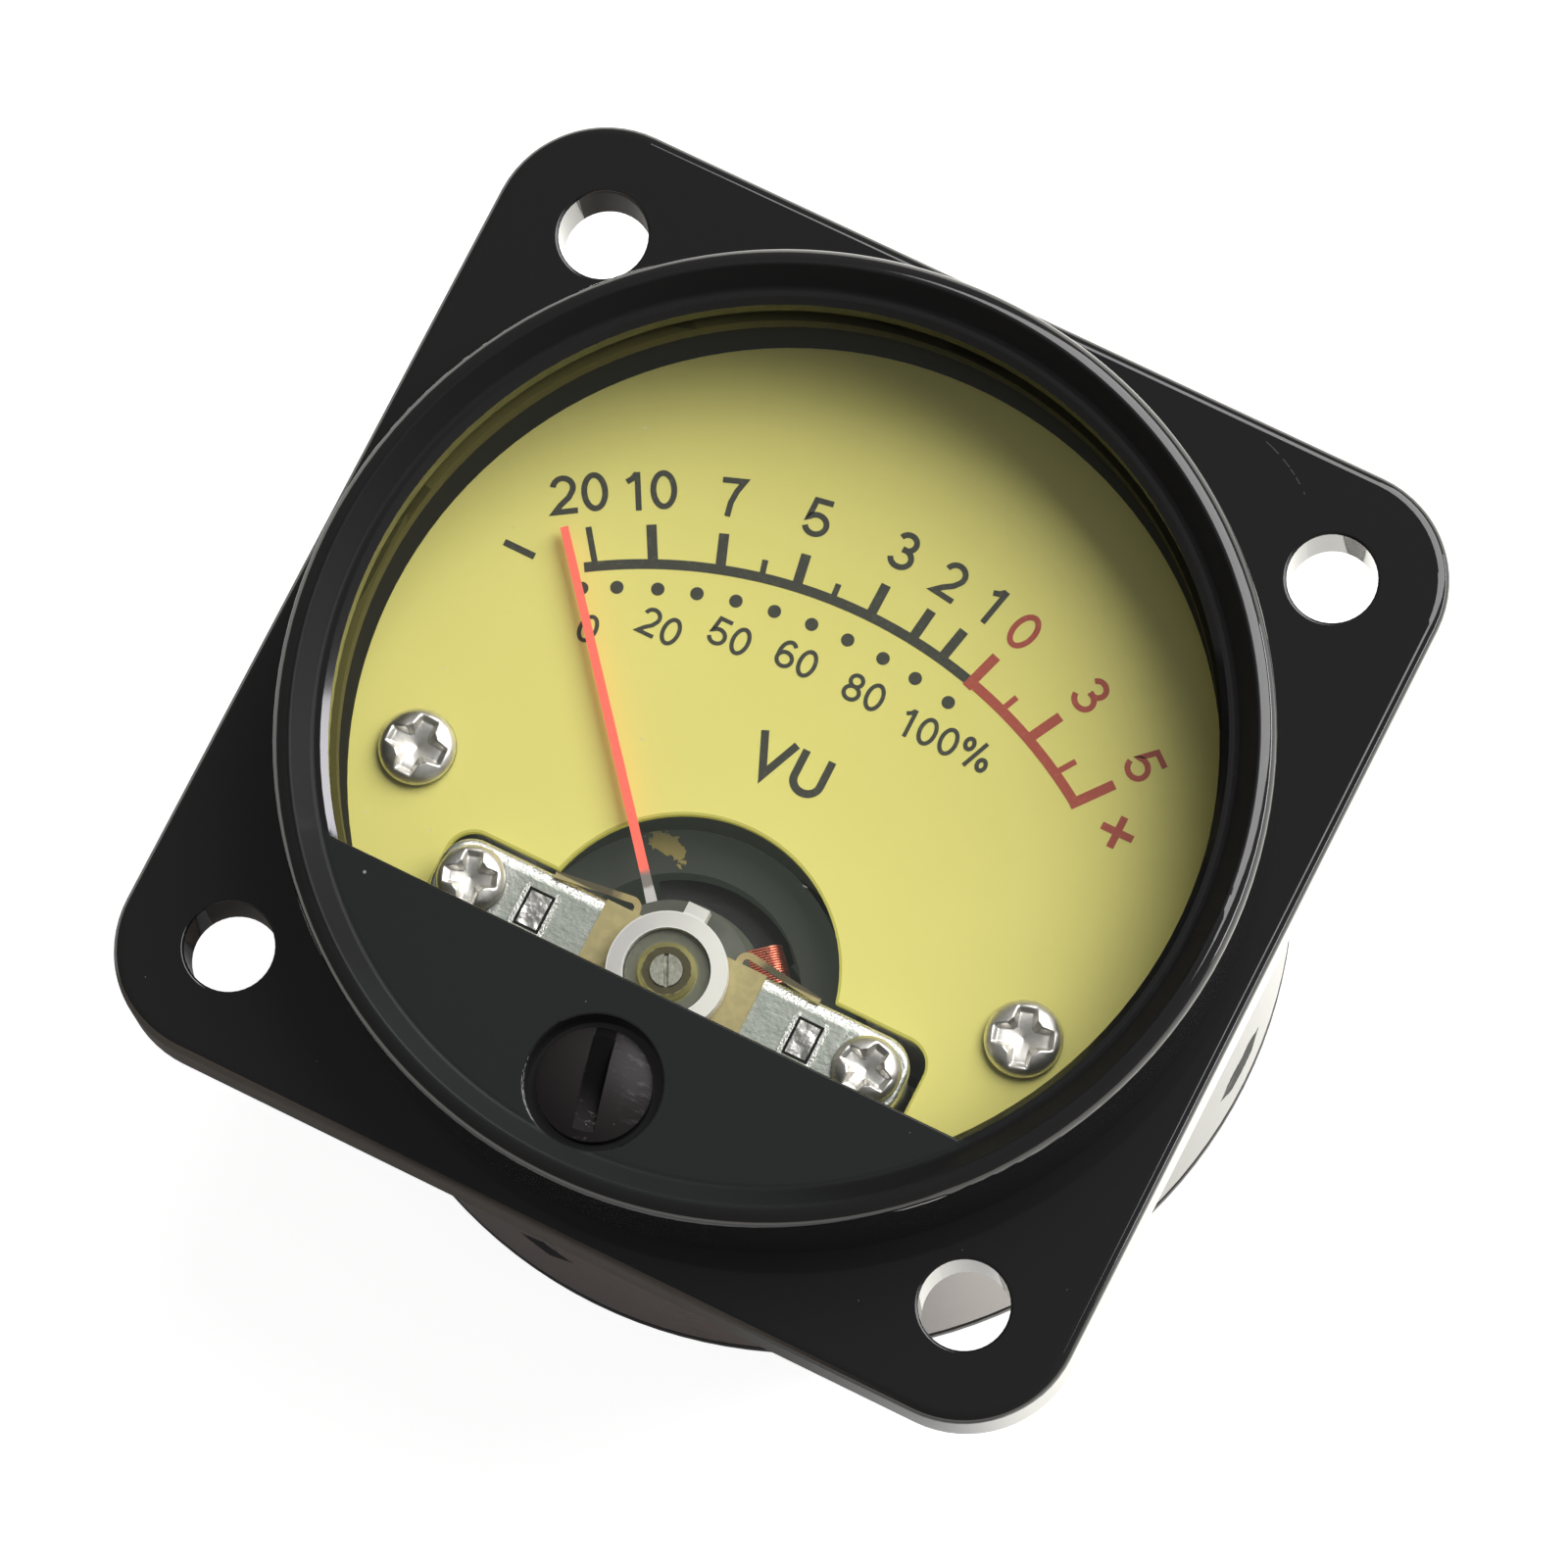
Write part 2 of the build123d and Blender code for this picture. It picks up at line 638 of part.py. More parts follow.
# Spring clip: a flat plate on the bar with a hairpin arm on each side
with BuildPart() as spring_clip:
    with BuildSketch(Plane.XY.offset(bar_top_z)):
        with Locations((0, pivot_y)):
            Rectangle(2 * clip_half_length, bar_width)
            Circle(bush_stem_radius + glue_gap, mode=Mode.SUBTRACT)
        for side in (-1, 1):
            with BuildLine():
                FilletPolyline(
                    (side * clip_arm_x, bar_edge_y - clip_arm_width),
                    (side * clip_arm_x, clip_arm_y),
                    (side * clip_arm_end_x, clip_arm_y - clip_arm_drop),
                    radius=clip_arm_bend,
                )
            trace(line_width=clip_arm_width)
    extrude(amount=clip_thickness)
spring_clip.part.label = "spring_clip"
export_step(spring_clip.part, "parts/spring_clip.step")

# Bush in the middle of the bar: the zero lever turns on it and the jewel screw runs through it
with BuildPart() as bridge_bush:
    with BuildSketch(pivot_plane(washer_bottom_z)):
        Circle(bush_stem_radius)
    extrude(amount=clip_top_z - washer_bottom_z)
    with BuildSketch(pivot_plane(clip_top_z)):
        Circle(bush_radius)
    extrude(amount=bush_top_z - clip_top_z)
    with BuildSketch(pivot_plane(washer_bottom_z)):
        Circle(jewel_screw_radius + glue_gap)
    extrude(amount=bush_top_z - washer_bottom_z, mode=Mode.SUBTRACT)
bridge_bush.part.label = "bridge_bush"
export_step(bridge_bush.part, "parts/bridge_bush.step")

# Upper jewel screw: slotted top, cup for the pivot underneath
with BuildPart() as upper_jewel_screw:
    with BuildSketch(pivot_plane(jewel_screw_bottom_z)):
        Circle(jewel_screw_radius)
    extrude(amount=jewel_screw_top_z - jewel_screw_bottom_z)
    with BuildSketch(pivot_plane(jewel_screw_bottom_z)):
        Circle(pivot_pin_radius + jewel_cup_gap)
    extrude(amount=jewel_cup_depth, mode=Mode.SUBTRACT)
    with BuildSketch(pivot_plane(jewel_screw_top_z)):
        Rectangle(jewel_slot_width, 3 * jewel_screw_radius, rotation=jewel_slot_lean)
    extrude(amount=-jewel_slot_depth, mode=Mode.SUBTRACT)
upper_jewel_screw.part.label = "upper_jewel_screw"
export_step(upper_jewel_screw.part, "parts/upper_jewel_screw.step")

# Round lock nut of the upper jewel screw
with BuildPart() as upper_jewel_nut:
    with BuildSketch(pivot_plane(bush_top_z)):
        Circle(nut_radius)
        Circle(jewel_screw_radius + glue_gap, mode=Mode.SUBTRACT)
    extrude(amount=nut_height)
    chamfer(rings_at(upper_jewel_nut, nut_radius, bush_top_z + nut_height), nut_chamfer)
upper_jewel_nut.part.label = "upper_jewel_nut"
export_step(upper_jewel_nut.part, "parts/upper_jewel_nut.step")

# Grey washer under the bar, cut straight on the zero lever's side
with BuildPart() as insulating_washer:
    with BuildSketch(Plane.XY.offset(washer_bottom_z)):
        with Locations((0, pivot_y)):
            Circle(washer_radius)
            Circle(bush_stem_radius + glue_gap, mode=Mode.SUBTRACT)
        with Locations((0, washer_base_y + half_plane / 2)):
            Rectangle(half_plane, half_plane, mode=Mode.INTERSECT)
    extrude(amount=washer_thickness)
insulating_washer.part.label = "insulating_washer"
export_step(insulating_washer.part, "parts/insulating_washer.step")

# Zero lever: ring, tab, forked arm and the stud of the upper hairspring
with BuildPart() as zero_lever:
    ring_bore_radius = bush_radius + running_gap
    tab_end = lever_ring_radius + lever_tab_reach
    stud_middle = upper_spring_outer + spring_thickness / 2 + spring_stud / 2
    with BuildSketch(pivot_plane(lever_bottom_z)):
        Circle(lever_ring_radius)
        with Locations((0, (lever_arm_root + tab_end) / 2)):
            Rectangle(lever_tab_width, tab_end - lever_arm_root)
        Circle(ring_bore_radius, mode=Mode.SUBTRACT)
    extrude(amount=lever_thickness)
    with BuildSketch(pivot_plane(lever_bottom_z)):
        with Locations((0, -(lever_arm_root + lever_arm_length) / 2)):
            Rectangle(lever_arm_width, lever_arm_length - lever_arm_root)
        Circle(ring_bore_radius, mode=Mode.SUBTRACT)
        with Locations((0, -fork_floor - lever_arm_length / 2)):
            Rectangle(2 * (eccentric_radius + fork_gap), lever_arm_length, mode=Mode.SUBTRACT)
    extrude(amount=lever_arm_thickness)
    with BuildSketch(pivot_plane(lever_bottom_z)):
        with Locations((0, -stud_middle)):
            Rectangle(spring_stud, spring_stud)
    extrude(amount=upper_spring_z - lever_bottom_z)
zero_lever.part.label = "zero_lever"
export_step(zero_lever.part, "parts/zero_lever.step")

# Hairsprings, the upper one held by the zero lever and the lower one by the frame
with BuildPart() as upper_hairspring:
    upper_spring_inner = hub_radius + spring_thickness / 2 + glue_gap
    add(hairspring(upper_spring_inner, upper_spring_outer, upper_spring_z))
upper_hairspring.part.label = "upper_hairspring"
export_step(upper_hairspring.part, "parts/upper_hairspring.step")

with BuildPart() as lower_hairspring:
    lower_spring_inner = lower_collar_radius + spring_thickness / 2 + glue_gap
    add(hairspring(lower_spring_inner, lower_spring_outer, lower_collar_z))
lower_hairspring.part.label = "lower_hairspring"
export_step(lower_hairspring.part, "parts/lower_hairspring.step")

# Pointer: a flat blade with an eye round the hub's neck and three balance arms
with BuildPart() as pointer:
    with BuildSketch(pivot_plane(pointer_z, 90 + rest_angle)):
        with BuildLine():
            Polyline(
                (hub_neck_radius, pointer_root_width / 2),
                (pointer_root_length, pointer_width / 2),
                (pointer_length, pointer_tip_width / 2),
                (pointer_length, -pointer_tip_width / 2),
                (pointer_root_length, -pointer_width / 2),
                (hub_neck_radius, -pointer_root_width / 2),
                close=True,
            )
        make_face()
        with Locations((-balance_arm_length / 2, 0)):
            Rectangle(balance_arm_length, balance_arm_width)
        Rectangle(balance_arm_width, 2 * balance_arm_length)
        Circle(pointer_eye_radius)
        Circle(hub_neck_radius + glue_gap, mode=Mode.SUBTRACT)
    extrude(amount=pointer_thickness)
pointer.part.label = "pointer"
export_step(pointer.part, "parts/pointer.step")

# Hub between the coil and the pointer
with BuildPart() as pointer_hub:
    with BuildSketch(pivot_plane(hub_bottom_z)):
        Circle(hub_radius)
    extrude(amount=pointer_z - hub_bottom_z)
    with BuildSketch(pivot_plane(pointer_z)):
        Circle(hub_neck_radius)
    extrude(amount=hub_top_z - pointer_z)
    with BuildSketch(pivot_plane(hub_bottom_z)):
        Circle(pivot_pin_radius + glue_gap)
    extrude(amount=hub_top_z - hub_bottom_z, mode=Mode.SUBTRACT)
pointer_hub.part.label = "pointer_hub"
export_step(pointer_hub.part, "parts/pointer_hub.step")

# Balance weights under the three arms
with BuildPart() as balance_weights:
    with BuildSketch(pivot_plane(pointer_z, 90 + rest_angle)):
        with Locations((-balance_weight_arm, 0), (0, balance_weight_arm), (0, -balance_weight_arm)):
            Circle(balance_weight_radius)
    extrude(amount=-balance_weight_height)
balance_weights.part.label = "balance_weights"
export_step(balance_weights.part, "parts/balance_weights.step")

# Moving coil: the winding as one closed pack
with BuildPart() as moving_coil:
    with BuildSketch(coil_plane):
        with Locations((0, coil_middle_z)):
            RectangleRounded(2 * coil_half_width, coil_height, coil_corner_radius)
            RectangleRounded(
                2 * (coil_half_width - coil_build),
                coil_height - 2 * coil_build,
                coil_corner_radius - coil_build,
                mode=Mode.SUBTRACT,
            )
    extrude(amount=coil_half_depth, both=True)
moving_coil.part.label = "moving_coil"
export_step(moving_coil.part, "parts/moving_coil.step")

# Thin metal former inside the winding
with BuildPart() as coil_former:
    with BuildSketch(coil_plane):
        with Locations((0, coil_middle_z)):
            Rectangle(2 * former_half_width, former_height)
            Rectangle(2 * former_inner_half_width, former_height - 2 * former_wall, mode=Mode.SUBTRACT)
    extrude(amount=coil_half_depth, both=True)
    fillet(
        coil_former.edges().filter_by(Axis(coil_plane.origin, coil_plane.z_dir)).filter_by(
            lambda edge: abs(coil_plane.to_local_coords(edge.center()).X) > former_half_width - 1e-3
        ),
        coil_corner_radius - coil_build,
    )
coil_former.part.label = "coil_former"
export_step(coil_former.part, "parts/coil_former.step")

# Pivots, glued to the top and the bottom of the coil
with BuildPart() as upper_pivot:
    with BuildSketch(pivot_plane(coil_top_z)):
        Circle(pivot_plate_radius)
    extrude(amount=pivot_plate_thickness)
    with BuildSketch(pivot_plane(hub_bottom_z)):
        Circle(pivot_pin_radius)
    extrude(amount=jewel_screw_bottom_z + pivot_pin_entry - hub_bottom_z)
upper_pivot.part.label = "upper_pivot"
export_step(upper_pivot.part, "parts/upper_pivot.step")

with BuildPart() as lower_pivot:
    with BuildSketch(pivot_plane(coil_bottom_z)):
        Circle(pivot_plate_radius)
    extrude(amount=-pivot_plate_thickness)
    with BuildSketch(pivot_plane(coil_bottom_z - pivot_plate_thickness)):
        Circle(lower_collar_radius)
    extrude(amount=-lower_collar_height)
    with BuildSketch(pivot_plane(lower_collar_z)):
        Circle(pivot_pin_radius)
    extrude(amount=-lower_pin_length)
lower_pivot.part.label = "lower_pivot"
export_step(lower_pivot.part, "parts/lower_pivot.step")

# Core magnet inside the coil
with BuildPart() as core_magnet:
    with BuildSketch(pivot_plane(coil_middle_z - core_height / 2)):
        Circle(core_radius)
    extrude(amount=core_height)
core_magnet.part.label = "core_magnet"
export_step(core_magnet.part, "parts/core_magnet.step")

# Spacers between core and yoke: they hold the core and stop the coil at both ends
with BuildPart() as core_spacers:
    wedge_x = yoke_outer_radius * sin(radians(spacer_half_angle))
    wedge_y = yoke_outer_radius * cos(radians(spacer_half_angle))
    with BuildSketch(pivot_plane(spacer_z)):
        Polygon((0, 0), (wedge_x, wedge_y), (-wedge_x, wedge_y), align=None)
        Polygon((0, 0), (-wedge_x, -wedge_y), (wedge_x, -wedge_y), align=None)
        Circle(yoke_inner_radius - glue_gap, mode=Mode.INTERSECT)
        Circle(core_radius + glue_gap, mode=Mode.SUBTRACT)
    extrude(amount=spacer_height)
core_spacers.part.label = "core_spacers"
export_step(core_spacers.part, "parts/core_spacers.step")

# Soft-iron yoke
with BuildPart() as yoke_ring:
    with BuildSketch(pivot_plane(yoke_bottom_z)):
        Circle(yoke_outer_radius)
        Circle(yoke_inner_radius, mode=Mode.SUBTRACT)
    extrude(amount=yoke_height)
yoke_ring.part.label = "yoke_ring"
export_step(yoke_ring.part, "parts/yoke_ring.step")

# Movement frame: base, seat of the yoke, bar posts, legs and the lower spring's stud
with BuildPart() as movement_frame:
    frame_length = 2 * (bridge_screw_x + frame_leg_radius + frame_arm_margin)
    lower_stud_middle = lower_spring_outer + spring_thickness / 2 + spring_stud / 2
    pilot_radius = screw_shank_radius + glue_gap
    with BuildSketch(pivot_plane(frame_base_z)):
        Circle(frame_base_radius)
        RectangleRounded(frame_length, frame_arm_width, frame_leg_radius)
    extrude(amount=frame_base_thickness)
    with BuildSketch(pivot_plane(frame_base_top_z)):
        Circle(yoke_outer_radius)
        Circle(frame_ring_inner, mode=Mode.SUBTRACT)
        with Locations((0, -lower_stud_middle)):
            Rectangle(spring_stud, spring_stud)
    extrude(amount=yoke_bottom_z - frame_base_top_z)
    with BuildSketch(Plane.XY.offset(frame_base_top_z)):
        with Locations(*bridge_screw_points):
            Circle(frame_post_radius)
    extrude(amount=bar_bottom_z - frame_base_top_z)
    with BuildSketch(Plane.XY.offset(frame_base_z)):
        with Locations(*bridge_screw_points):
            Circle(frame_leg_radius)
    extrude(amount=board_top_z - frame_base_z)
    with BuildSketch(pivot_plane(frame_base_z)):
        Circle(jewel_screw_radius + glue_gap)
    extrude(amount=frame_base_thickness, mode=Mode.SUBTRACT)
    with BuildSketch(Plane.XY.offset(bar_bottom_z)):
        with Locations(*bridge_screw_points):
            Circle(pilot_radius)
    extrude(amount=-bridge_screw_length, mode=Mode.SUBTRACT)
    with BuildSketch(Plane.XY.offset(board_top_z)):
        with Locations(*bridge_screw_points):
            Circle(pilot_radius)
    extrude(amount=board_screw_length, mode=Mode.SUBTRACT)
movement_frame.part.label = "movement_frame"
export_step(movement_frame.part, "parts/movement_frame.step")

# Lower jewel screw and its nut
with BuildPart() as lower_jewel_screw:
    with BuildSketch(pivot_plane(lower_screw_top_z)):
        Circle(jewel_screw_radius)
    extrude(amount=-lower_screw_length)
    with BuildSketch(pivot_plane(lower_screw_top_z)):
        Circle(pivot_pin_radius + jewel_cup_gap)
    extrude(amount=-jewel_cup_depth, mode=Mode.SUBTRACT)
    with BuildSketch(pivot_plane(lower_screw_top_z - lower_screw_length)):
        Rectangle(jewel_slot_width, 3 * jewel_screw_radius)
    extrude(amount=jewel_slot_depth, mode=Mode.SUBTRACT)
lower_jewel_screw.part.label = "lower_jewel_screw"
export_step(lower_jewel_screw.part, "parts/lower_jewel_screw.step")

with BuildPart() as lower_jewel_nut:
    with BuildSketch(pivot_plane(frame_base_z)):
        Circle(nut_radius)
        Circle(jewel_screw_radius + glue_gap, mode=Mode.SUBTRACT)
    extrude(amount=-nut_height)
    chamfer(rings_at(lower_jewel_nut, nut_radius, frame_base_z - nut_height), nut_chamfer)
lower_jewel_nut.part.label = "lower_jewel_nut"
export_step(lower_jewel_nut.part, "parts/lower_jewel_nut.step")

# Light box: a white tray behind the dial, with a full rim under the dial's edge
with BuildPart() as light_box:
    with BuildSketch(Plane.XY.offset(box_floor_z)):
        Circle(box_radius)
        with Locations((0, box_base_y + half_plane / 2)):
            Rectangle(half_plane, half_plane, mode=Mode.INTERSECT)
        with Locations((0, pivot_y)):
            Circle(box_movement_radius, mode=Mode.SUBTRACT)
    extrude(amount=box_depth)
    with BuildSketch(Plane.XY.offset(dial_back_z)):
        Circle(box_radius)
        Circle(box_radius - box_rim_width, mode=Mode.SUBTRACT)
    extrude(amount=-box_rim_height)
    with BuildSketch(Plane.XY.offset(dial_back_z)):
        Circle(box_radius - box_wall)
        with Locations((0, box_cavity_base_y + half_plane / 2)):
            Rectangle(half_plane, half_plane, mode=Mode.INTERSECT)
        with Locations((0, pivot_y)):
            Circle(box_movement_radius + box_wall, mode=Mode.SUBTRACT)
    extrude(amount=-(box_depth - box_wall), mode=Mode.SUBTRACT)
    with BuildSketch(Plane.XY.offset(board_top_z)):
        with Locations(*box_leg_points):
            Circle(box_leg_radius)
    extrude(amount=box_floor_z - board_top_z)
    with BuildSketch(Plane.XY.offset(box_floor_z)):
        with Locations(*lamp_points):
            Circle(lamp_bulb_radius + lamp_hole_gap)
    extrude(amount=box_wall, mode=Mode.SUBTRACT)
    with BuildSketch(Plane.XY.offset(dial_back_z)):
        with Locations(*dial_screw_points):
            Circle(screw_shank_radius + glue_gap)
    extrude(amount=-dial_screw_length, mode=Mode.SUBTRACT)
light_box.part.label = "light_box"
export_step(light_box.part, "parts/light_box.step")

# Lamps and their holders
with BuildPart() as lamp_bulbs:
    with BuildSketch(Plane.XY.offset(lamp_holder_top_z)):
        with Locations(*lamp_points):
            Circle(lamp_bulb_radius)
    extrude(amount=lamp_bulb_height)
    fillet(
        rings_at(lamp_bulbs, lamp_bulb_radius, lamp_holder_top_z + lamp_bulb_height),
        lamp_bulb_radius - seat_gap,
    )
lamp_bulbs.part.label = "lamp_bulbs"
export_step(lamp_bulbs.part, "parts/lamp_bulbs.step")

with BuildPart() as lamp_holders:
    with BuildSketch(Plane.XY.offset(board_top_z)):
        with Locations(*lamp_points):
            Circle(lamp_holder_radius)
    extrude(amount=lamp_holder_height)
    with BuildSketch(Plane.XY.offset(board_top_z)):
        with Locations(*lamp_points):
            Circle(lamp_flange_radius)
    extrude(amount=lamp_flange_height)
lamp_holders.part.label = "lamp_holders"
export_step(lamp_holders.part, "parts/lamp_holders.step")

# Terminal board
with BuildPart() as terminal_board:
    with BuildSketch(Plane.XY.offset(board_bottom_z)):
        Circle(board_radius)
        with Locations(*coil_terminal_points, *lamp_terminal_points):
            Circle(terminal_shank_radius + glue_gap, mode=Mode.SUBTRACT)
        with Locations(*bridge_screw_points):
            Circle(screw_shank_radius + hole_play, mode=Mode.SUBTRACT)
    extrude(amount=board_thickness)
terminal_board.part.label = "terminal_board"
export_step(terminal_board.part, "parts/terminal_board.step")


def terminals(points):
    """Round solder pins, each with a thicker shank through cover and board, a collar and solder."""
    shank_end_z = -can_depth - terminal_shank_proud
    with BuildPart() as pins:
        with BuildSketch(Plane.XY.offset(terminal_end_z)):
            with Locations(*points):
                Circle(terminal_radius)
        extrude(amount=shank_end_z - terminal_end_z)
        chamfer(rings_at(pins, terminal_radius, terminal_end_z), terminal_tip_chamfer)
        with BuildSketch(Plane.XY.offset(shank_end_z)):
            with Locations(*points):
                Circle(terminal_shank_radius)
        extrude(amount=board_top_z - shank_end_z)
        with BuildSketch(Plane.XY.offset(board_bottom_z)):
            with Locations(*points):
                Circle(terminal_collar_radius)
        extrude(amount=-terminal_collar_height)
        with BuildSketch(Plane.XY.offset(board_top_z)):
            with Locations(*points):
                Circle(terminal_solder_radius)
        extrude(amount=terminal_solder_height)
        fillet(
            rings_at(pins, terminal_solder_radius, board_top_z + terminal_solder_height),
            terminal_solder_height - seat_gap,
        )
    return pins.part


with BuildPart() as coil_terminals:
    add(terminals(coil_terminal_points))
coil_terminals.part.label = "coil_terminals"
export_step(coil_terminals.part, "parts/coil_terminals.step")

with BuildPart() as lamp_terminals:
    add(terminals(lamp_terminal_points))
lamp_terminals.part.label = "lamp_terminals"
export_step(lamp_terminals.part, "parts/lamp_terminals.step")

# The two screws that hold the board to the movement frame, heads to the rear
with BuildPart() as board_screws:
    add(cross_head_screws(
        bridge_screw_points, board_bottom_z, bridge_screw_head_radius, board_screw_length, up=-1
    ))
board_screws.part.label = "board_screws"
export_step(board_screws.part, "parts/board_screws.step")

# Rear can, with a window for each snap barb
with BuildPart() as rear_can:
    with BuildSketch(Plane.XY.offset(cover_top_z)):
        Circle(can_radius)
        Circle(can_bore_radius, mode=Mode.SUBTRACT)
    extrude(amount=-can_neck_height - cover_top_z)
    with BuildSketch(Plane.XY.offset(-can_neck_height)):
        Circle(can_radius - can_neck_step)
        Circle(can_bore_radius, mode=Mode.SUBTRACT)
    extrude(amount=can_neck_height + can_groove_depth)
    chamfer(rings_at(rear_can, can_radius, cover_top_z), can_edge_chamfer)
    for side_plane in (Plane.XZ, Plane.YZ):
        with BuildSketch(side_plane):
            with Locations((0, snap_z)):
                Rectangle(snap_barb_width + 2 * snap_window_gap, snap_barb_height + 2 * snap_window_gap)
        extrude(amount=can_radius + over, both=True, mode=Mode.SUBTRACT)
rear_can.part.label = "rear_can"
export_step(rear_can.part, "parts/rear_can.step")

# Back cover: disc, locating step and the posts that carry the board
with BuildPart() as back_cover:
    with BuildSketch(Plane.XY.offset(-can_depth)):
        Circle(can_radius)
    extrude(amount=cover_thickness)
    chamfer(rings_at(back_cover, can_radius, cover_top_z), can_edge_chamfer)
    fillet(rings_at(back_cover, can_radius, -can_depth), cover_edge_radius)
    with BuildSketch(Plane.XY.offset(cover_top_z)):
        Circle(can_bore_radius - seat_gap)
        Circle(can_bore_radius - seat_gap - cover_step_wall, mode=Mode.SUBTRACT)
    extrude(amount=cover_step_height)
    with BuildSketch(Plane.XY.offset(cover_top_z)):
        with PolarLocations(cover_post_circle, 4):
            Circle(cover_post_radius)
    extrude(amount=board_bottom_z - cover_top_z)
    with BuildSketch(Plane.XY.offset(-can_depth)):
        with Locations(*coil_terminal_points, *lamp_terminal_points):
            Circle(terminal_shank_radius + hole_play)
    extrude(amount=cover_thickness, mode=Mode.SUBTRACT)
back_cover.part.label = "back_cover"
export_step(back_cover.part, "parts/back_cover.step")
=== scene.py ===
# Panel meter: the finishes, the dial's print, the screws, the coil's wire, the light and the camera.
import logging
import math
from dataclasses import dataclass, field
from enum import Enum
from typing import Any, Dict, List, Optional, Sequence, Tuple, Union

import bmesh
import bpy
from mathutils import Matrix, Vector


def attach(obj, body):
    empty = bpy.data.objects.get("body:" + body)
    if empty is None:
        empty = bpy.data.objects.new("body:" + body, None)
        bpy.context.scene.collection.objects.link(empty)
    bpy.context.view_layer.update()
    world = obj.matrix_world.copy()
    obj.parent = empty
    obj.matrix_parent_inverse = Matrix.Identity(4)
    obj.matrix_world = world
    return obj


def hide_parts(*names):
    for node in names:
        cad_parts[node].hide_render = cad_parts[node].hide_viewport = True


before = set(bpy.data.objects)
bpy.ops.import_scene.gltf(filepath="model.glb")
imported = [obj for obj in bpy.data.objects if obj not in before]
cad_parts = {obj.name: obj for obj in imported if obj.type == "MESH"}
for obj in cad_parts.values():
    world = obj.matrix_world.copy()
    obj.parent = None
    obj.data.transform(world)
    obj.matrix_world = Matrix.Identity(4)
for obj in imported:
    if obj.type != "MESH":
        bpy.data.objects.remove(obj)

logging.basicConfig(level=logging.INFO, format="%(message)s")
log = logging.getLogger("panel_meter")

MM = 0.001
PIVOT = (0.0, -10.5)
DIAL_TOP = 1.6
PRINT_LIFT = 0.012
LAYER_LIFT = 0.003
SMALL_PRINT = (1.28, 0.18, 0.0)
WHITE = (1.0, 1.0, 1.0)
NO_LIGHT = (0.0, 0.0, 0.0)

Colour = Tuple[float, float, float]
Point = Tuple[float, float]
Number = Union["Signal", float]
Stroke = Tuple[bool, List[Point]]
Tick = Tuple[float, float, float, bool]


# Node trees

class NodeGraph:
    """One node tree, and the single method that adds nodes to it."""

    def __init__(self, tree: bpy.types.NodeTree) -> None:
        """Keeps the tree."""
        self.tree = tree

    def node(
        self,
        kind: str,
        settings: Optional[Dict[str, Any]] = None,
        inputs: Optional[Dict[Union[str, int], Any]] = None,
    ) -> bpy.types.Node:
        """Adds one node, sets it up and then feeds its sockets.

        Args:
            kind: the node's type.
            settings: the node's own settings.
            inputs: a value, socket or signal for each input, by identifier, name or number.

        Returns:
            The new node.
        """
        made = self.tree.nodes.new(kind)
        for name, value in (settings or {}).items():
            setattr(made, name, value)
        for key, value in (inputs or {}).items():
            socket = self._input(made, key)
            if isinstance(value, Signal):
                value = value.socket
            if isinstance(value, bpy.types.NodeSocket):
                self.tree.links.new(value, socket)
            elif socket.type == "RGBA" and len(value) == 3:
                socket.default_value = (*value, 1.0)
            else:
                socket.default_value = value
        return made

    @staticmethod
    def _input(made: bpy.types.Node, key: Union[str, int]) -> bpy.types.NodeSocket:
        """Finds an input by identifier, else by name or number."""
        for socket in made.inputs:
            if socket.identifier == key:
                return socket
        return made.inputs[key]


class Signal:
    """A value socket that takes part in Python sums: each operator adds a Math node."""

    def __init__(self, graph: "ShaderGraph", socket: bpy.types.NodeSocket) -> None:
        """Keeps the graph and the socket."""
        self.graph = graph
        self.socket = socket

    def __add__(self, other: Number) -> "Signal":
        """Sum."""
        return self.graph.maths("ADD", self, other)

    def __sub__(self, other: Number) -> "Signal":
        """Difference."""
        return self.graph.maths("SUBTRACT", self, other)

    def __rsub__(self, other: Number) -> "Signal":
        """Difference from a number."""
        return self.graph.maths("SUBTRACT", other, self)

    def __mul__(self, other: Number) -> "Signal":
        """Product."""
        return self.graph.maths("MULTIPLY", self, other)

    def __abs__(self) -> "Signal":
        """Size without sign."""
        return self.graph.maths("ABSOLUTE", self)

    __radd__ = __add__
    __rmul__ = __mul__

    def above(self, edge: Number) -> "Signal":
        """One where the value is over an edge, else zero."""
        return self.graph.maths("GREATER_THAN", self, edge)

    def below(self, edge: Number) -> "Signal":
        """One where the value is under an edge, else zero."""
        return self.graph.maths("LESS_THAN", self, edge)

    def most(self, other: Number) -> "Signal":
        """The larger of two values."""
        return self.graph.maths("MAXIMUM", self, other)

    def rise(self, low: float, high: float) -> "Signal":
        """Goes smoothly from nought to one between two values, or back where low is the larger."""
        inputs = {"Value": self, "From Min": low, "From Max": high}
        made = self.graph.node("ShaderNodeMapRange", {"interpolation_type": "SMOOTHSTEP"}, inputs)
        return Signal(self.graph, made.outputs["Result"])

    def across_edge(self, edge: float, blur: float) -> "Signal":
        """Goes smoothly from nought to one over the blur at both sides of an edge."""
        return self.rise(edge - blur, edge + blur)


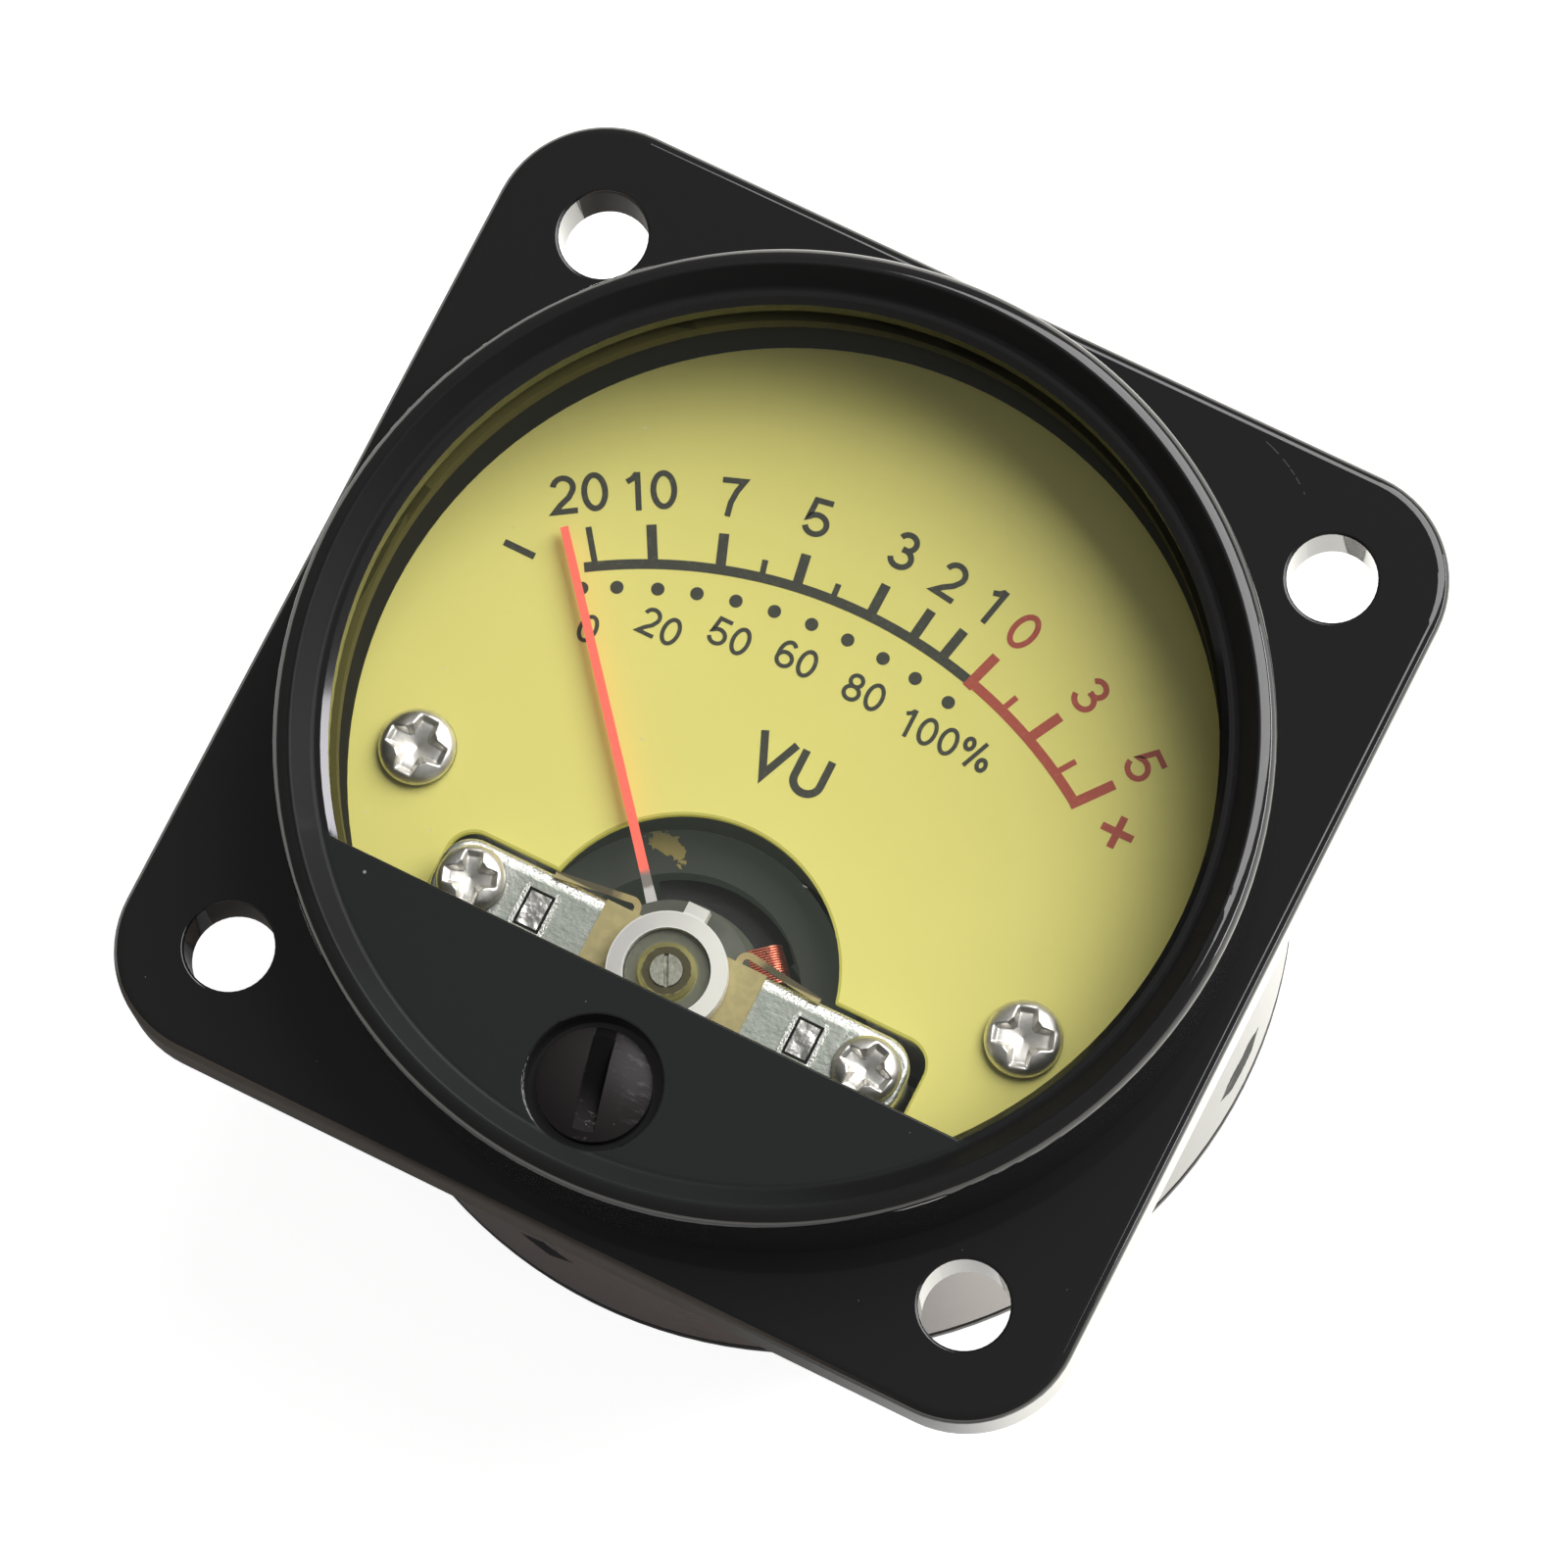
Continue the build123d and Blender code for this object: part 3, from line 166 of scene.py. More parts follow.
class Arrow(Signal):
    """A vector socket that takes part in Python sums: each operator adds a Vector Math node."""

    def __add__(self, other: Union["Arrow", Sequence[float]]) -> "Arrow":
        """Vector sum."""
        return self.graph.vector_maths("ADD", self, other)

    def __sub__(self, other: Union["Arrow", Sequence[float]]) -> "Arrow":
        """Vector difference."""
        return self.graph.vector_maths("SUBTRACT", self, other)

    def __mul__(self, other: Union["Arrow", Sequence[float]]) -> "Arrow":
        """Product of the parts."""
        return self.graph.vector_maths("MULTIPLY", self, other)

    def length(self) -> Signal:
        """The vector's length."""
        made = self.graph.node("ShaderNodeVectorMath", {"operation": "LENGTH"}, {0: self})
        return Signal(self.graph, made.outputs["Value"])

    def flat_length(self) -> Signal:
        """The vector's length across and up, without its height."""
        return (self * (1.0, 1.0, 0.0)).length()

    def along(self, way: Point) -> Signal:
        """How far the vector reaches along a way that is given across and up."""
        across, up, _ = self.parts()
        return across * way[0] + up * way[1]

    def parts(self) -> Tuple[Signal, Signal, Signal]:
        """The three parts as values."""
        made = self.graph.node("ShaderNodeSeparateXYZ", None, {0: self})
        return tuple(Signal(self.graph, socket) for socket in made.outputs)


@dataclass(frozen=True)
class Grain:
    """Soft noise: its features to a millimetre, finer layers, their strength and how it is squeezed."""

    scale: float
    layers: float = 3.0
    rough: float = 0.5
    squeeze: Optional[Tuple[float, float, float]] = None


@dataclass(frozen=True)
class Specks:
    """Scattered specks: points to a millimetre, radius, share left bare, growth, squeeze and shift."""

    scale: float
    radius: float
    bare: float
    growth: float = 0.0
    squeeze: Optional[Tuple[float, float, float]] = None
    shift: Tuple[float, float, float] = (0.0, 0.0, 0.0)


class ShaderGraph(NodeGraph):
    """The node tree of a material or of the world."""

    @classmethod
    def emptied(cls, owner: Union[bpy.types.Material, bpy.types.World]) -> "ShaderGraph":
        """Clears a material's or the world's tree and takes it over."""
        owner.use_nodes = True
        owner.node_tree.nodes.clear()
        return cls(owner.node_tree)

    def maths(self, operation: str, first: Number, second: Optional[Number] = None) -> Signal:
        """Adds one Math node.

        Args:
            operation: the Math node's operation.
            first: the first value.
            second: the second value, where the operation takes two.

        Returns:
            The result.
        """
        inputs = {0: first} if second is None else {0: first, 1: second}
        made = self.node("ShaderNodeMath", {"operation": operation}, inputs)
        return Signal(self, made.outputs[0])

    def vector_maths(self, operation: str, first: Any, second: Any) -> Arrow:
        """Adds one Vector Math node and returns its vector."""
        made = self.node("ShaderNodeVectorMath", {"operation": operation}, {0: first, 1: second})
        return Arrow(self, made.outputs[0])

    def place(self) -> Arrow:
        """The place on the piece in millimetres."""
        made = self.node("ShaderNodeTexCoord")
        return Arrow(self, made.outputs["Object"]) * (1000.0, 1000.0, 1000.0)

    def ray(self, kind: str) -> Signal:
        """One where the surface is met by a ray of one kind, such as Camera."""
        return Signal(self, self.node("ShaderNodeLightPath").outputs["Is " + kind + " Ray"])

    def facing(self) -> Tuple[Signal, Signal, Signal]:
        """The three parts of the surface's direction."""
        made = self.node("ShaderNodeNewGeometry")
        return Arrow(self, made.outputs["Normal"]).parts()

    def noise(self, place: Arrow, grain: Grain) -> Signal:
        """Adds soft noise.

        Args:
            place: where on the piece.
            grain: the noise's measures.

        Returns:
            A value round one half.
        """
        where = place * grain.squeeze if grain.squeeze else place
        inputs = {"Vector": where, "Scale": grain.scale, "Detail": grain.layers, "Roughness": grain.rough}
        made = self.node("ShaderNodeTexNoise", {"noise_dimensions": "3D"}, inputs)
        return Signal(self, made.outputs[0])

    def specks(self, place: Arrow, specks: Specks) -> Signal:
        """Scatters round specks.

        Args:
            place: where on the piece.
            specks: their measures.

        Returns:
            One on a speck, else zero.
        """
        where = (place * specks.squeeze if specks.squeeze else place) + specks.shift
        made = self.node("ShaderNodeTexVoronoi", None, {"Vector": where, "Scale": specks.scale})
        own = Arrow(self, made.outputs["Color"]).parts()[0]
        radius = (own - specks.bare) * specks.growth + specks.radius
        return Signal(self, made.outputs["Distance"]).below(radius) * own.above(specks.bare)

    def blend(self, share: Number, first: Any, second: Any) -> Signal:
        """Goes from one colour to another.

        Args:
            share: how much of the second.
            first: a colour or a signal.
            second: a colour or a signal.

        Returns:
            The mixed colour.
        """
        inputs = {"Factor_Float": share, "A_Color": first, "B_Color": second}
        made = self.node("ShaderNodeMix", {"data_type": "RGBA", "clamp_factor": True}, inputs)
        mixed = next(socket for socket in made.outputs if socket.identifier == "Result_Color")
        return Signal(self, mixed)

    def bump(self, height: Signal, depth: float, strength: float = 1.0) -> Signal:
        """Turns a height between nought and one into a slope.

        Args:
            height: the height.
            depth: how many millimetres a height of one stands up.
            strength: how much of the slope is used.

        Returns:
            The bumped direction.
        """
        inputs = {"Height": height, "Distance": depth * MM, "Strength": strength}
        made = self.node("ShaderNodeBump", None, inputs)
        return Signal(self, made.outputs["Normal"])


# Finishes

@dataclass(frozen=True)
class Finish:
    """What every finish shares: a name, and a Principled shader fed by its own sockets."""

    name: str

    def sockets(self, graph: ShaderGraph) -> Dict[str, Any]:
        """The Principled shader's inputs, from the finish that is built."""
        raise NotImplementedError

    def build(self) -> bpy.types.Material:
        """Makes the material, or returns the one already made.

        Returns:
            The finish as a material.
        """
        label = "finish_" + self.name
        known = bpy.data.materials.get(label)
        if known is not None:
            return known
        material = bpy.data.materials.new(label)
        graph = ShaderGraph.emptied(material)
        shader = graph.node("ShaderNodeBsdfPrincipled", None, self.sockets(graph))
        graph.node("ShaderNodeOutputMaterial", None, {"Surface": shader.outputs[0]})
        return material


@dataclass(frozen=True)
class GlossMoulding(Finish):
    """Polished black moulding: duller panel, satin rim slope, dust and a hairline, with painted light on the
    lower rim slope and a painted brownish reflection on the flange's lower side.
    """

    black: Colour = (0.0122, 0.0120, 0.0124)
    panel: Colour = (0.0175, 0.0195, 0.0190)
    # Painted brownish reflection on the flange's lower side.
    under: Colour = (0.120, 0.103, 0.088)
    dust: Colour = (0.30, 0.30, 0.29)
    panel_top: float = 8.1
    panel_side: float = 19.46
    panel_edge: float = -12.0
    slope: Point = (19.2, 20.5)
    lip: float = 18.95
    flange_top: float = 3.0
    under_reach: float = 21.7
    under_side: Point = (19.0, 6.0)
    low_slope: Point = (-15.5, -19.0)
    scratch_centre: Point = (10.4, 15.2)
    scratch_radius: float = 6.75
    scratch_from: Point = (12.2, 20.3)
    scratch_levels: Point = (2.6, 3.2)
    scratch_half: float = 0.012
    polish: float = 0.055
    panel_matt: float = 0.42
    slope_matt: float = 0.34
    under_matt: float = 0.45
    large_dust: Specks = Specks(0.55, 0.045, 0.9, 0.05)
    fine_dust: Specks = Specks(1.7, 0.05, 0.93, shift=(3.0, 1.0, 0.0))
    scratch_gaps: Grain = Grain(3.0)
    smear: Grain = Grain(0.09, 4.0, 0.6)
    wave: Grain = Grain(0.16, 2.0)
    skin: Grain = Grain(9.0, 2.0)

    def marks(self, graph: ShaderGraph, place: Arrow) -> Signal:
        """Dust specks and one curved hairline.

        Args:
            graph: the material's tree.
            place: where on the piece.

        Returns:
            How much of the dust's colour shows.
        """
        across, up, height = place.parts()
        up_facing = graph.facing()[2].above(0.9)
        dust = graph.specks(place, self.large_dust).most(graph.specks(place, self.fine_dust) * 0.5)
        ring = (place - (*self.scratch_centre, 0.0)).flat_length()
        hairline = abs(ring - self.scratch_radius).below(self.scratch_half)
        hairline = hairline * across.above(self.scratch_from[0]) * up.above(self.scratch_from[1])
        hairline = hairline * height.above(self.scratch_levels[0]) * height.below(self.scratch_levels[1])
        hairline = hairline * graph.noise(place, self.scratch_gaps).above(0.47)
        return (dust * up_facing).most(hairline * 0.4)

    def sockets(self, graph: ShaderGraph) -> Dict[str, Any]:
        """Black with its duller parts, painted light on the lower rim slope, a painted brownish reflection
        on the flange's lower side, the marks and a slight moulding wave.

        Args:
            graph: the material's tree.

        Returns:
            The Principled shader's inputs.
        """
        place = graph.place()
        across, up, height = place.parts()
        facing_y, facing_z = graph.facing()[1:]
        reach = place.flat_length()
        on_panel = abs(height - self.panel_top).below(0.3) * facing_z.above(0.97)
        on_panel = on_panel * reach.below(self.panel_side) * up.below(self.panel_edge)
        on_slope = reach.rise(self.slope[0], self.slope[0] + 0.1) * reach.below(self.slope[1])
        on_slope = on_slope * height.above(self.panel_top - 0.05)
        on_wall = reach.below(self.lip) * facing_z.below(0.3) * height.above(self.flange_top)
        under = facing_y.below(-0.5) * height.below(self.flange_top) * reach.above(self.under_reach)
        under = under * across.rise(*self.under_side)
        marks = self.marks(graph, place)
        # Painted light: the lower rim slope takes the panel's lighter colour.
        low_slope = on_slope * up.rise(*self.low_slope)
        base = graph.blend(on_panel.most(low_slope), self.black, self.panel)
        # Painted brownish reflection on the left of the flange's lower side.
        base = graph.blend(under, base, self.under)
        smear = graph.noise(place, self.smear)
        dull = on_panel.most(on_slope).most(under).most(on_wall * 0.8)
        rough = on_panel * self.panel_matt + on_slope * self.slope_matt + under * self.under_matt
        wave = graph.noise(place, self.wave) + graph.noise(place, self.skin) * 0.012
        lit = facing_z.rise(0.2, 0.6)
        return {
            "Base Color": graph.blend(marks * lit, base, self.dust),
            "Roughness": self.polish + smear * 0.05 + rough + marks * 0.3,
            "Specular IOR Level": 0.12,
            "Coat Weight": 1.0 - dull * 0.96,
            "Coat Roughness": 0.05,
            "Normal": graph.bump(wave, 0.03, 0.6),
        }


@dataclass(frozen=True)
class PlainMoulding(Finish):
    """Moulded plastic with a faint grain, a little wear, a soft sheen and, where one is given, a faint
    painted glow.
    """

    colour: Colour = (0.02, 0.02, 0.02)
    worn: Colour = (0.05, 0.05, 0.05)
    roughness: float = 0.45
    grain: float = 6.0
    relief: float = 0.006
    # Faint painted glow, for pieces deep in the shade behind the dial.
    painted_glow: Colour = NO_LIGHT
    patches: Grain = Grain(0.35, 4.0, 0.6)

    def sockets(self, graph: ShaderGraph) -> Dict[str, Any]:
        """A mottled colour, uneven gloss, a fine grain and, where one is given, a faint painted glow.

        Args:
            graph: the material's tree.

        Returns:
            The Principled shader's inputs.
        """
        place = graph.place()
        patches = graph.noise(place, self.patches)
        grain = graph.noise(place, Grain(self.grain, 3.0, 0.6))
        share = patches.rise(0.45, 0.75) * 0.6 + grain * 0.25
        return {
            "Base Color": graph.blend(share, self.colour, self.worn),
            "Roughness": self.roughness + (patches - 0.5) * 0.25,
            "Specular IOR Level": 0.45,
            "Emission Color": self.painted_glow,
            "Emission Strength": 1.0,
            "Normal": graph.bump(grain, self.relief),
        }


@dataclass(frozen=True)
class StainedIron(PlainMoulding):
    """Blackened iron with one fleck of dried lacquer."""

    fleck: Colour = (0.36, 0.28, 0.06)
    fleck_middle: Tuple[float, float, float] = (-3.1, -4.8, 0.0)
    fleck_shape: Tuple[float, float, float] = (0.9, 1.4, 0.0)
    fleck_size: float = 0.72
    fleck_ragged: Grain = Grain(1.1, 4.0, 0.7)

    def sockets(self, graph: ShaderGraph) -> Dict[str, Any]:
        """The plain moulding's inputs, with the fleck over the colour.

        Args:
            graph: the material's tree.

        Returns:
            The Principled shader's inputs.
        """
        inputs = super().sockets(graph)
        place = graph.place()
        ragged = graph.noise(place, self.fleck_ragged) - 0.5
        near = ((place - self.fleck_middle) * self.fleck_shape).length() + ragged * 2.4
        inputs["Base Color"] = graph.blend(near.below(self.fleck_size), inputs["Base Color"], self.fleck)
        return inputs


@dataclass(frozen=True)
class LeverMoulding(Finish):
    """The zero lever's translucent white moulding, in painted shade on the left and with painted highlights
    on both edges.
    """

    shaded: Colour = (0.62, 0.60, 0.57)
    lit: Colour = (0.92, 0.91, 0.82)
    # Painted highlight colour of the ring's edges.
    bright: Colour = (0.95, 0.95, 0.90)
    inner: float = 1.85
    outer: float = 2.6
    lit_way: Point = (0.9, 0.1)
    lit_span: Point = (-2.2, 2.0)
    scatter: Tuple[float, float, float] = (0.0006, 0.0006, 0.0005)
    edge_widths: Point = (0.07, 0.05)
    cloud: Grain = Grain(0.8)

    def sockets(self, graph: ShaderGraph) -> Dict[str, Any]:
        """A milky colour across the ring, in painted shade on the left, and painted highlights on both of
        its edges.

        Args:
            graph: the material's tree.

        Returns:
            The Principled shader's inputs.
        """
        place = graph.place() - (*PIVOT, 0.0)
        away = place.flat_length()
        cloud = graph.noise(place, self.cloud)
        side = (place.along(self.lit_way) + (cloud - 0.5) * 1.5).rise(*self.lit_span)
        inside = away.below(self.inner + self.edge_widths[0])
        # Painted highlights on both edges.
        edges = inside.most(abs(away - self.outer).below(self.edge_widths[1])) * 0.7
        return {
            "Base Color": graph.blend(edges, graph.blend(side, self.shaded, self.lit), self.bright),
            "Roughness": 0.26 + cloud * 0.1,
            "Specular IOR Level": 0.5,
            "Subsurface Weight": 0.12,
            "Subsurface Radius": self.scatter,
            "Normal": graph.bump(cloud, 0.01),
        }


@dataclass(frozen=True)
class CanMoulding(Finish):
    """The rear can: glossy black, with a painted brown reflection toward the lower side, scuffs, a dark band
    and a dark notch.
    """

    # Painted brown reflection: the brown and its lighter scuffed tone; the scuffs' pattern is wear.
    colour: Colour = (0.145, 0.092, 0.078)
    rubbed: Colour = (0.185, 0.125, 0.108)
    black: Colour = (0.030, 0.026, 0.024)
    # A dark band on the right side and a dark notch on the lower side.
    dark_band: Colour = (0.008, 0.008, 0.008)
    dark_band_from: float = -5.6
    dark_band_to: float = 5.2
    dark_band_level: float = -14.7
    dark_band_half: float = 1.3
    dark_band_gaps: float = 0.66
    dark_notch: Point = (-1.6, -21.4)
    dark_notch_shape: Point = (0.80, 0.3)
    dark_notch_level: float = -10.4
    dark_notch_top: float = -15.0
    brown_side: Point = (-4.0, -16.0)
    radius: float = 21.5
    rubbed_span: Point = (0.5, 0.8)
    scuffs: Grain = Grain(1.0, 5.0, 0.65, (0.25, 0.25, 4.0))
    grain: Grain = Grain(5.0, 2.0)

    def sockets(self, graph: ShaderGraph) -> Dict[str, Any]:
        """Black with a painted brown reflection toward the lower side, long scuffs, a dark band and a dark
        notch.

        Args:
            graph: the material's tree.

        Returns:
            The Principled shader's inputs.
        """
        place = graph.place()
        across, up, height = place.parts()
        scuffs = graph.noise(place, self.scuffs)
        grain = graph.noise(place, self.grain)
        middle = 0.5 * (self.dark_band_from + self.dark_band_to)
        half = math.sin(math.radians(0.5 * (self.dark_band_to - self.dark_band_from))) * self.radius
        middle_up = math.sin(math.radians(middle)) * self.radius
        taper = abs(up - middle_up).rise(half, half * 0.4) * across.above(0.0)
        band = abs(height - self.dark_band_level + (grain - 0.5) * 0.4).below(taper * self.dark_band_half)
        dark_band = band * scuffs.below(self.dark_band_gaps) * taper.above(0.02)
        dark_notch = ((place - (*self.dark_notch, 0.0)) * (*self.dark_notch_shape, 0.0)).length()
        dark_notch = dark_notch + (abs(height - self.dark_notch_level) - 0.1) * 0.7 + (grain - 0.5) * 0.6
        dark_band = dark_band.most(dark_notch.below(1.0) * up.below(self.dark_notch_top))
        base = graph.blend(scuffs.rise(*self.rubbed_span) * 0.6, self.colour, self.rubbed)
        # Painted brown reflection toward the lower side, black above.
        low = up.rise(*self.brown_side)
        base = graph.blend(low, self.black, base)
        return {
            "Base Color": graph.blend(dark_band, base, self.dark_band),
            "Roughness": 0.5 + scuffs * 0.2,
            "Specular IOR Level": 0.12,
            "Coat Weight": (1.0 - low * 0.2) * (1.0 - dark_band * 0.95),
            "Coat Roughness": 0.10,
            "Normal": graph.bump(grain + scuffs, 0.004),
        }


@dataclass(frozen=True)
class SpacerMoulding(Finish):
    """The spacer ring: matte black low down, with a painted olive reflection of the dial near the window."""

    black: Colour = (0.010, 0.009, 0.008)
    # Painted olive reflection of the dial.
    stained: Colour = (0.105, 0.094, 0.026)
    edge: float = 4.9
    lit_way: Point = (1.0, 1.0)
    lit_span: Point = (16.0, 2.0)
    shaded_share: float = 0.25
    grain: Grain = Grain(3.0, 3.0, 0.6)

    def sockets(self, graph: ShaderGraph) -> Dict[str, Any]:
        """Black below the edge's level and a painted olive reflection of the dial above it, weaker where
        painted shade falls.

        Args:
            graph: the material's tree.

        Returns:
            The Principled shader's inputs.
        """
        place = graph.place()
        grain = graph.noise(place, self.grain)
        height = place.parts()[2]
        high = (height + (grain - 0.5) * 0.15).across_edge(self.edge, 0.05)
        # Painted shade: the painted reflection weakens toward the upper right.
        lit = place.along(self.lit_way).rise(*self.lit_span)
        glow = lit * (1.0 - self.shaded_share) + self.shaded_share
        return {
            "Base Color": graph.blend(high * glow, self.black, self.stained),
            "Roughness": 0.9 - high * 0.3,
            "Specular IOR Level": 0.05,
            "Normal": graph.bump(grain, 0.004),
        }


@dataclass(frozen=True)
class ClearWindow(Finish):
    """The clear window: almost nothing but a few specks of dust and its polished edge."""

    colour: Colour = (0.62, 0.66, 0.60)
    veil: float = 0.014
    dust: Specks = Specks(0.42, 0.035, 0.86)
    lint: Specks = Specks(0.33, 0.04, 0.9, squeeze=(1.0, 3.2, 1.0), shift=(5.0, 0.0, 0.0))

    def sockets(self, graph: ShaderGraph) -> Dict[str, Any]:
        """A thin veil that thickens on specks, threads of lint and the edge.

        Args:
            graph: the material's tree.

        Returns:
            The Principled shader's inputs.
        """
        place = graph.place()
        dust = graph.specks(place, self.dust)
        lint = graph.specks(place, self.lint)
        edge = abs(graph.facing()[2]).below(0.5)
        return {
            "Base Color": self.colour,
            "Roughness": 0.03 + dust * 0.5,
            "Alpha": self.veil + dust.most(lint) * 0.3 + edge * 0.04,
        }


@dataclass(frozen=True)
class DialLacquer(Finish):
    """The printed yellow plate: even lacquer, with a deeper yellow at its cut edges and a painted glow on
    their walls.
    """

    yellow: Colour = (0.83, 0.765, 0.212)
    edge: Colour = (0.50, 0.47, 0.08)
    # Painted glow on the walls of the cuts.
    painted_edge_glow: Colour = (0.22, 0.21, 0.03)
    cut_middle: Point = (0.0, -9.75)
    cut_radius: float = 6.8
    slot_half: Point = (11.35, 2.375)
    slot_corner: float = 1.2
    rim: float = 0.11
    clouds: Grain = Grain(0.07)
    grain: Grain = Grain(7.0, 2.0)

    def sockets(self, graph: ShaderGraph) -> Dict[str, Any]:
        """Yellow with a hardly seen unevenness, and the deeper yellow edges, whose walls carry a painted
        glow.

        Args:
            graph: the material's tree.

        Returns:
            The Principled shader's inputs.
        """
        place = graph.place()
        clouds = graph.noise(place, self.clouds)
        grain = graph.noise(place, self.grain)
        side = abs(graph.facing()[2]).below(0.6)
        across, up, _ = place.parts()
        away = (place - (*self.cut_middle, 0.0)).flat_length() - self.cut_radius
        aside = (abs(across) - (self.slot_half[0] - self.slot_corner)).most(0.0)
        beyond = (abs(up - PIVOT[1]) - (self.slot_half[1] - self.slot_corner)).most(0.0)
        by_slot = (aside * aside + beyond * beyond).below((self.slot_corner + self.rim) ** 2)
        rim = away.below(self.rim).most(by_slot) * 0.8
        paler = tuple(min(1.0, part * 1.05 + 0.015) for part in self.yellow)
        ground = graph.blend(clouds.rise(0.35, 0.7) * 0.6 + grain * 0.2, self.yellow, paler)
        return {
            "Base Color": graph.blend(side.most(rim), ground, self.edge),
            "Roughness": 0.5 + grain * 0.1,
            "Specular IOR Level": 0.25,
            "Emission Color": graph.blend(side, NO_LIGHT, self.painted_edge_glow),
            "Emission Strength": 1.0,
            "Normal": graph.bump(grain, 0.002),
        }


@dataclass(frozen=True)
class PrintInk(Finish):
    """Screen-printed ink, slightly uneven."""

    colour: Colour = (0.05, 0.052, 0.035)
    thin: Colour = (0.10, 0.10, 0.06)
    spots: Grain = Grain(4.5, 3.0, 0.6)

    def sockets(self, graph: ShaderGraph) -> Dict[str, Any]:
        """Ink with thinner spots where the screen laid less.

        Args:
            graph: the material's tree.

        Returns:
            The Principled shader's inputs.
        """
        spots = graph.noise(graph.place(), self.spots)
        return {
            "Base Color": graph.blend(spots.rise(0.5, 0.8), self.colour, self.thin),
            "Roughness": 0.48 + spots * 0.15,
            "Specular IOR Level": 0.3,
        }


@dataclass(frozen=True)
class PlatedMetal(Finish):
    """Plated or turned metal with dull blotches, fine drawing lines and a dented surface."""

    bright: Colour = (0.68, 0.67, 0.63)
    dull: Colour = (0.36, 0.36, 0.33)
    gloss: float = 0.16
    blotch: float = 0.9
    blotch_rough: float = 0.3
    lines: Tuple[float, float, float] = (1.0, 1.0, 1.0)
    line_depth: float = 0.004
    dent: float = 0.0
    shaded_side: float = 0.0
    side_shade: Colour = (0.10, 0.095, 0.07)
    dents: Grain = Grain(1.7, 2.0, 0.4)

    def sockets(self, graph: ShaderGraph) -> Dict[str, Any]:
        """Metal whose colour and gloss change in blotches.

        Args:
            graph: the material's tree.

        Returns:
            The Principled shader's inputs.
        """
        place = graph.place()
        blotches = graph.noise(place, Grain(self.blotch, 5.0, 0.6))
        lines = graph.noise(place, Grain(5.0, 3.0, 0.6, self.lines))
        dents = graph.noise(place, self.dents)
        worn = blotches.rise(0.38, 0.66)
        relief = lines * self.line_depth + dents * self.dent
        metal = graph.blend(worn * 0.8 + lines * 0.2, self.bright, self.dull)
        steep = graph.facing()[2].rise(0.42, 0.22) * self.shaded_side
        return {
            "Base Color": graph.blend(steep, metal, self.side_shade),
            "Metallic": 1.0,
            "Roughness": self.gloss + worn * self.blotch_rough + lines * 0.06,
            "Normal": graph.bump(relief, 1.0, 0.9),
        }


@dataclass(frozen=True)
class BridgePlating(Finish):
    """The bridge bar: dull blue-grey face, painted highlights on the rolled edges and the burrs, bright
    blotches at the ends, and painted shade in the gaps at the posts.
    """

    face: Colour = (0.49, 0.51, 0.45)
    stained: Colour = (0.37, 0.42, 0.37)
    # Painted highlight colour of the rolled edges and burrs, also used for the bright blotches at the ends.
    bright: Colour = (0.86, 0.85, 0.80)
    # Painted shade in the gaps round the posts.
    gap: Colour = (0.012, 0.012, 0.010)
    centre: float = PIVOT[1]
    half_width: float = 1.8
    face_reach: float = 7.4
    post: Point = (6.4, PIVOT[1])
    post_half: Point = (0.475, 0.75)
    gap_width: float = 0.13
    burr_width: float = 0.38
    face_level: float = 3.66
    blotches: Grain = Grain(1.3, 6.0, 0.65)
    fine: Grain = Grain(4.0, 4.0, 0.65, (1.0, 2.0, 1.0))
    crumbs: Grain = Grain(8.0, 3.0, 0.7)
    scratches: Grain = Grain(2.0, 4.0, 0.7, (0.4, 6.0, 1.0))

    def sockets(self, graph: ShaderGraph) -> Dict[str, Any]:
        """Metal masked by the distance to the long edges, to the ends and to the posts.

        Args:
            graph: the material's tree.

        Returns:
            The Principled shader's inputs.
        """
        place = graph.place()
        across, up, height = place.parts()
        blotches = graph.noise(place, self.blotches)
        fine = graph.noise(place, self.fine)
        crumbs = graph.noise(place, self.crumbs)
        to_edge = self.half_width - abs(up - self.centre)
        rolled = (to_edge + (fine - 0.5) * 0.5).rise(0.62, 0.34) * crumbs.rise(0.34, 0.5)
        ends = abs(across).rise(self.face_reach, self.face_reach + 0.8) * blotches.rise(0.44, 0.54)
        aside = abs(abs(across) - self.post[0]) - self.post_half[0]
        along = abs(up - self.post[1]) - self.post_half[1]
        to_post = aside.most(along)
        burr = to_post.below(self.burr_width) * aside.above(0.08)
        burr = burr * height.above(self.face_level) * crumbs.rise(0.32, 0.55)
        # Painted highlights on the rolled edges and burrs, and bright blotches at the ends; these parts are
        # glossier too.
        rubbed = rolled.most(ends * 0.6).most(burr * 0.8)
        scratches = graph.noise(place, self.scratches)
        stains = fine.rise(0.42, 0.62) * 0.7
        face = graph.blend(stains, self.face, self.stained)
        metal = graph.blend(rubbed, face, self.bright)
        slope = to_edge.rise(-0.1, 0.6) * 0.20
        relief = slope + blotches * 0.035 + fine * 0.010 + crumbs * rubbed * 0.03 + scratches * 0.005
        return {
            # Painted shade in the gaps round the posts.
            "Base Color": graph.blend(to_post.below(self.gap_width), metal, self.gap),
            "Metallic": 1.0,
            "Roughness": 0.46 - rubbed * 0.16 + (fine - 0.5) * 0.16,
            "Normal": graph.bump(relief, 1.0, 0.8),
        }


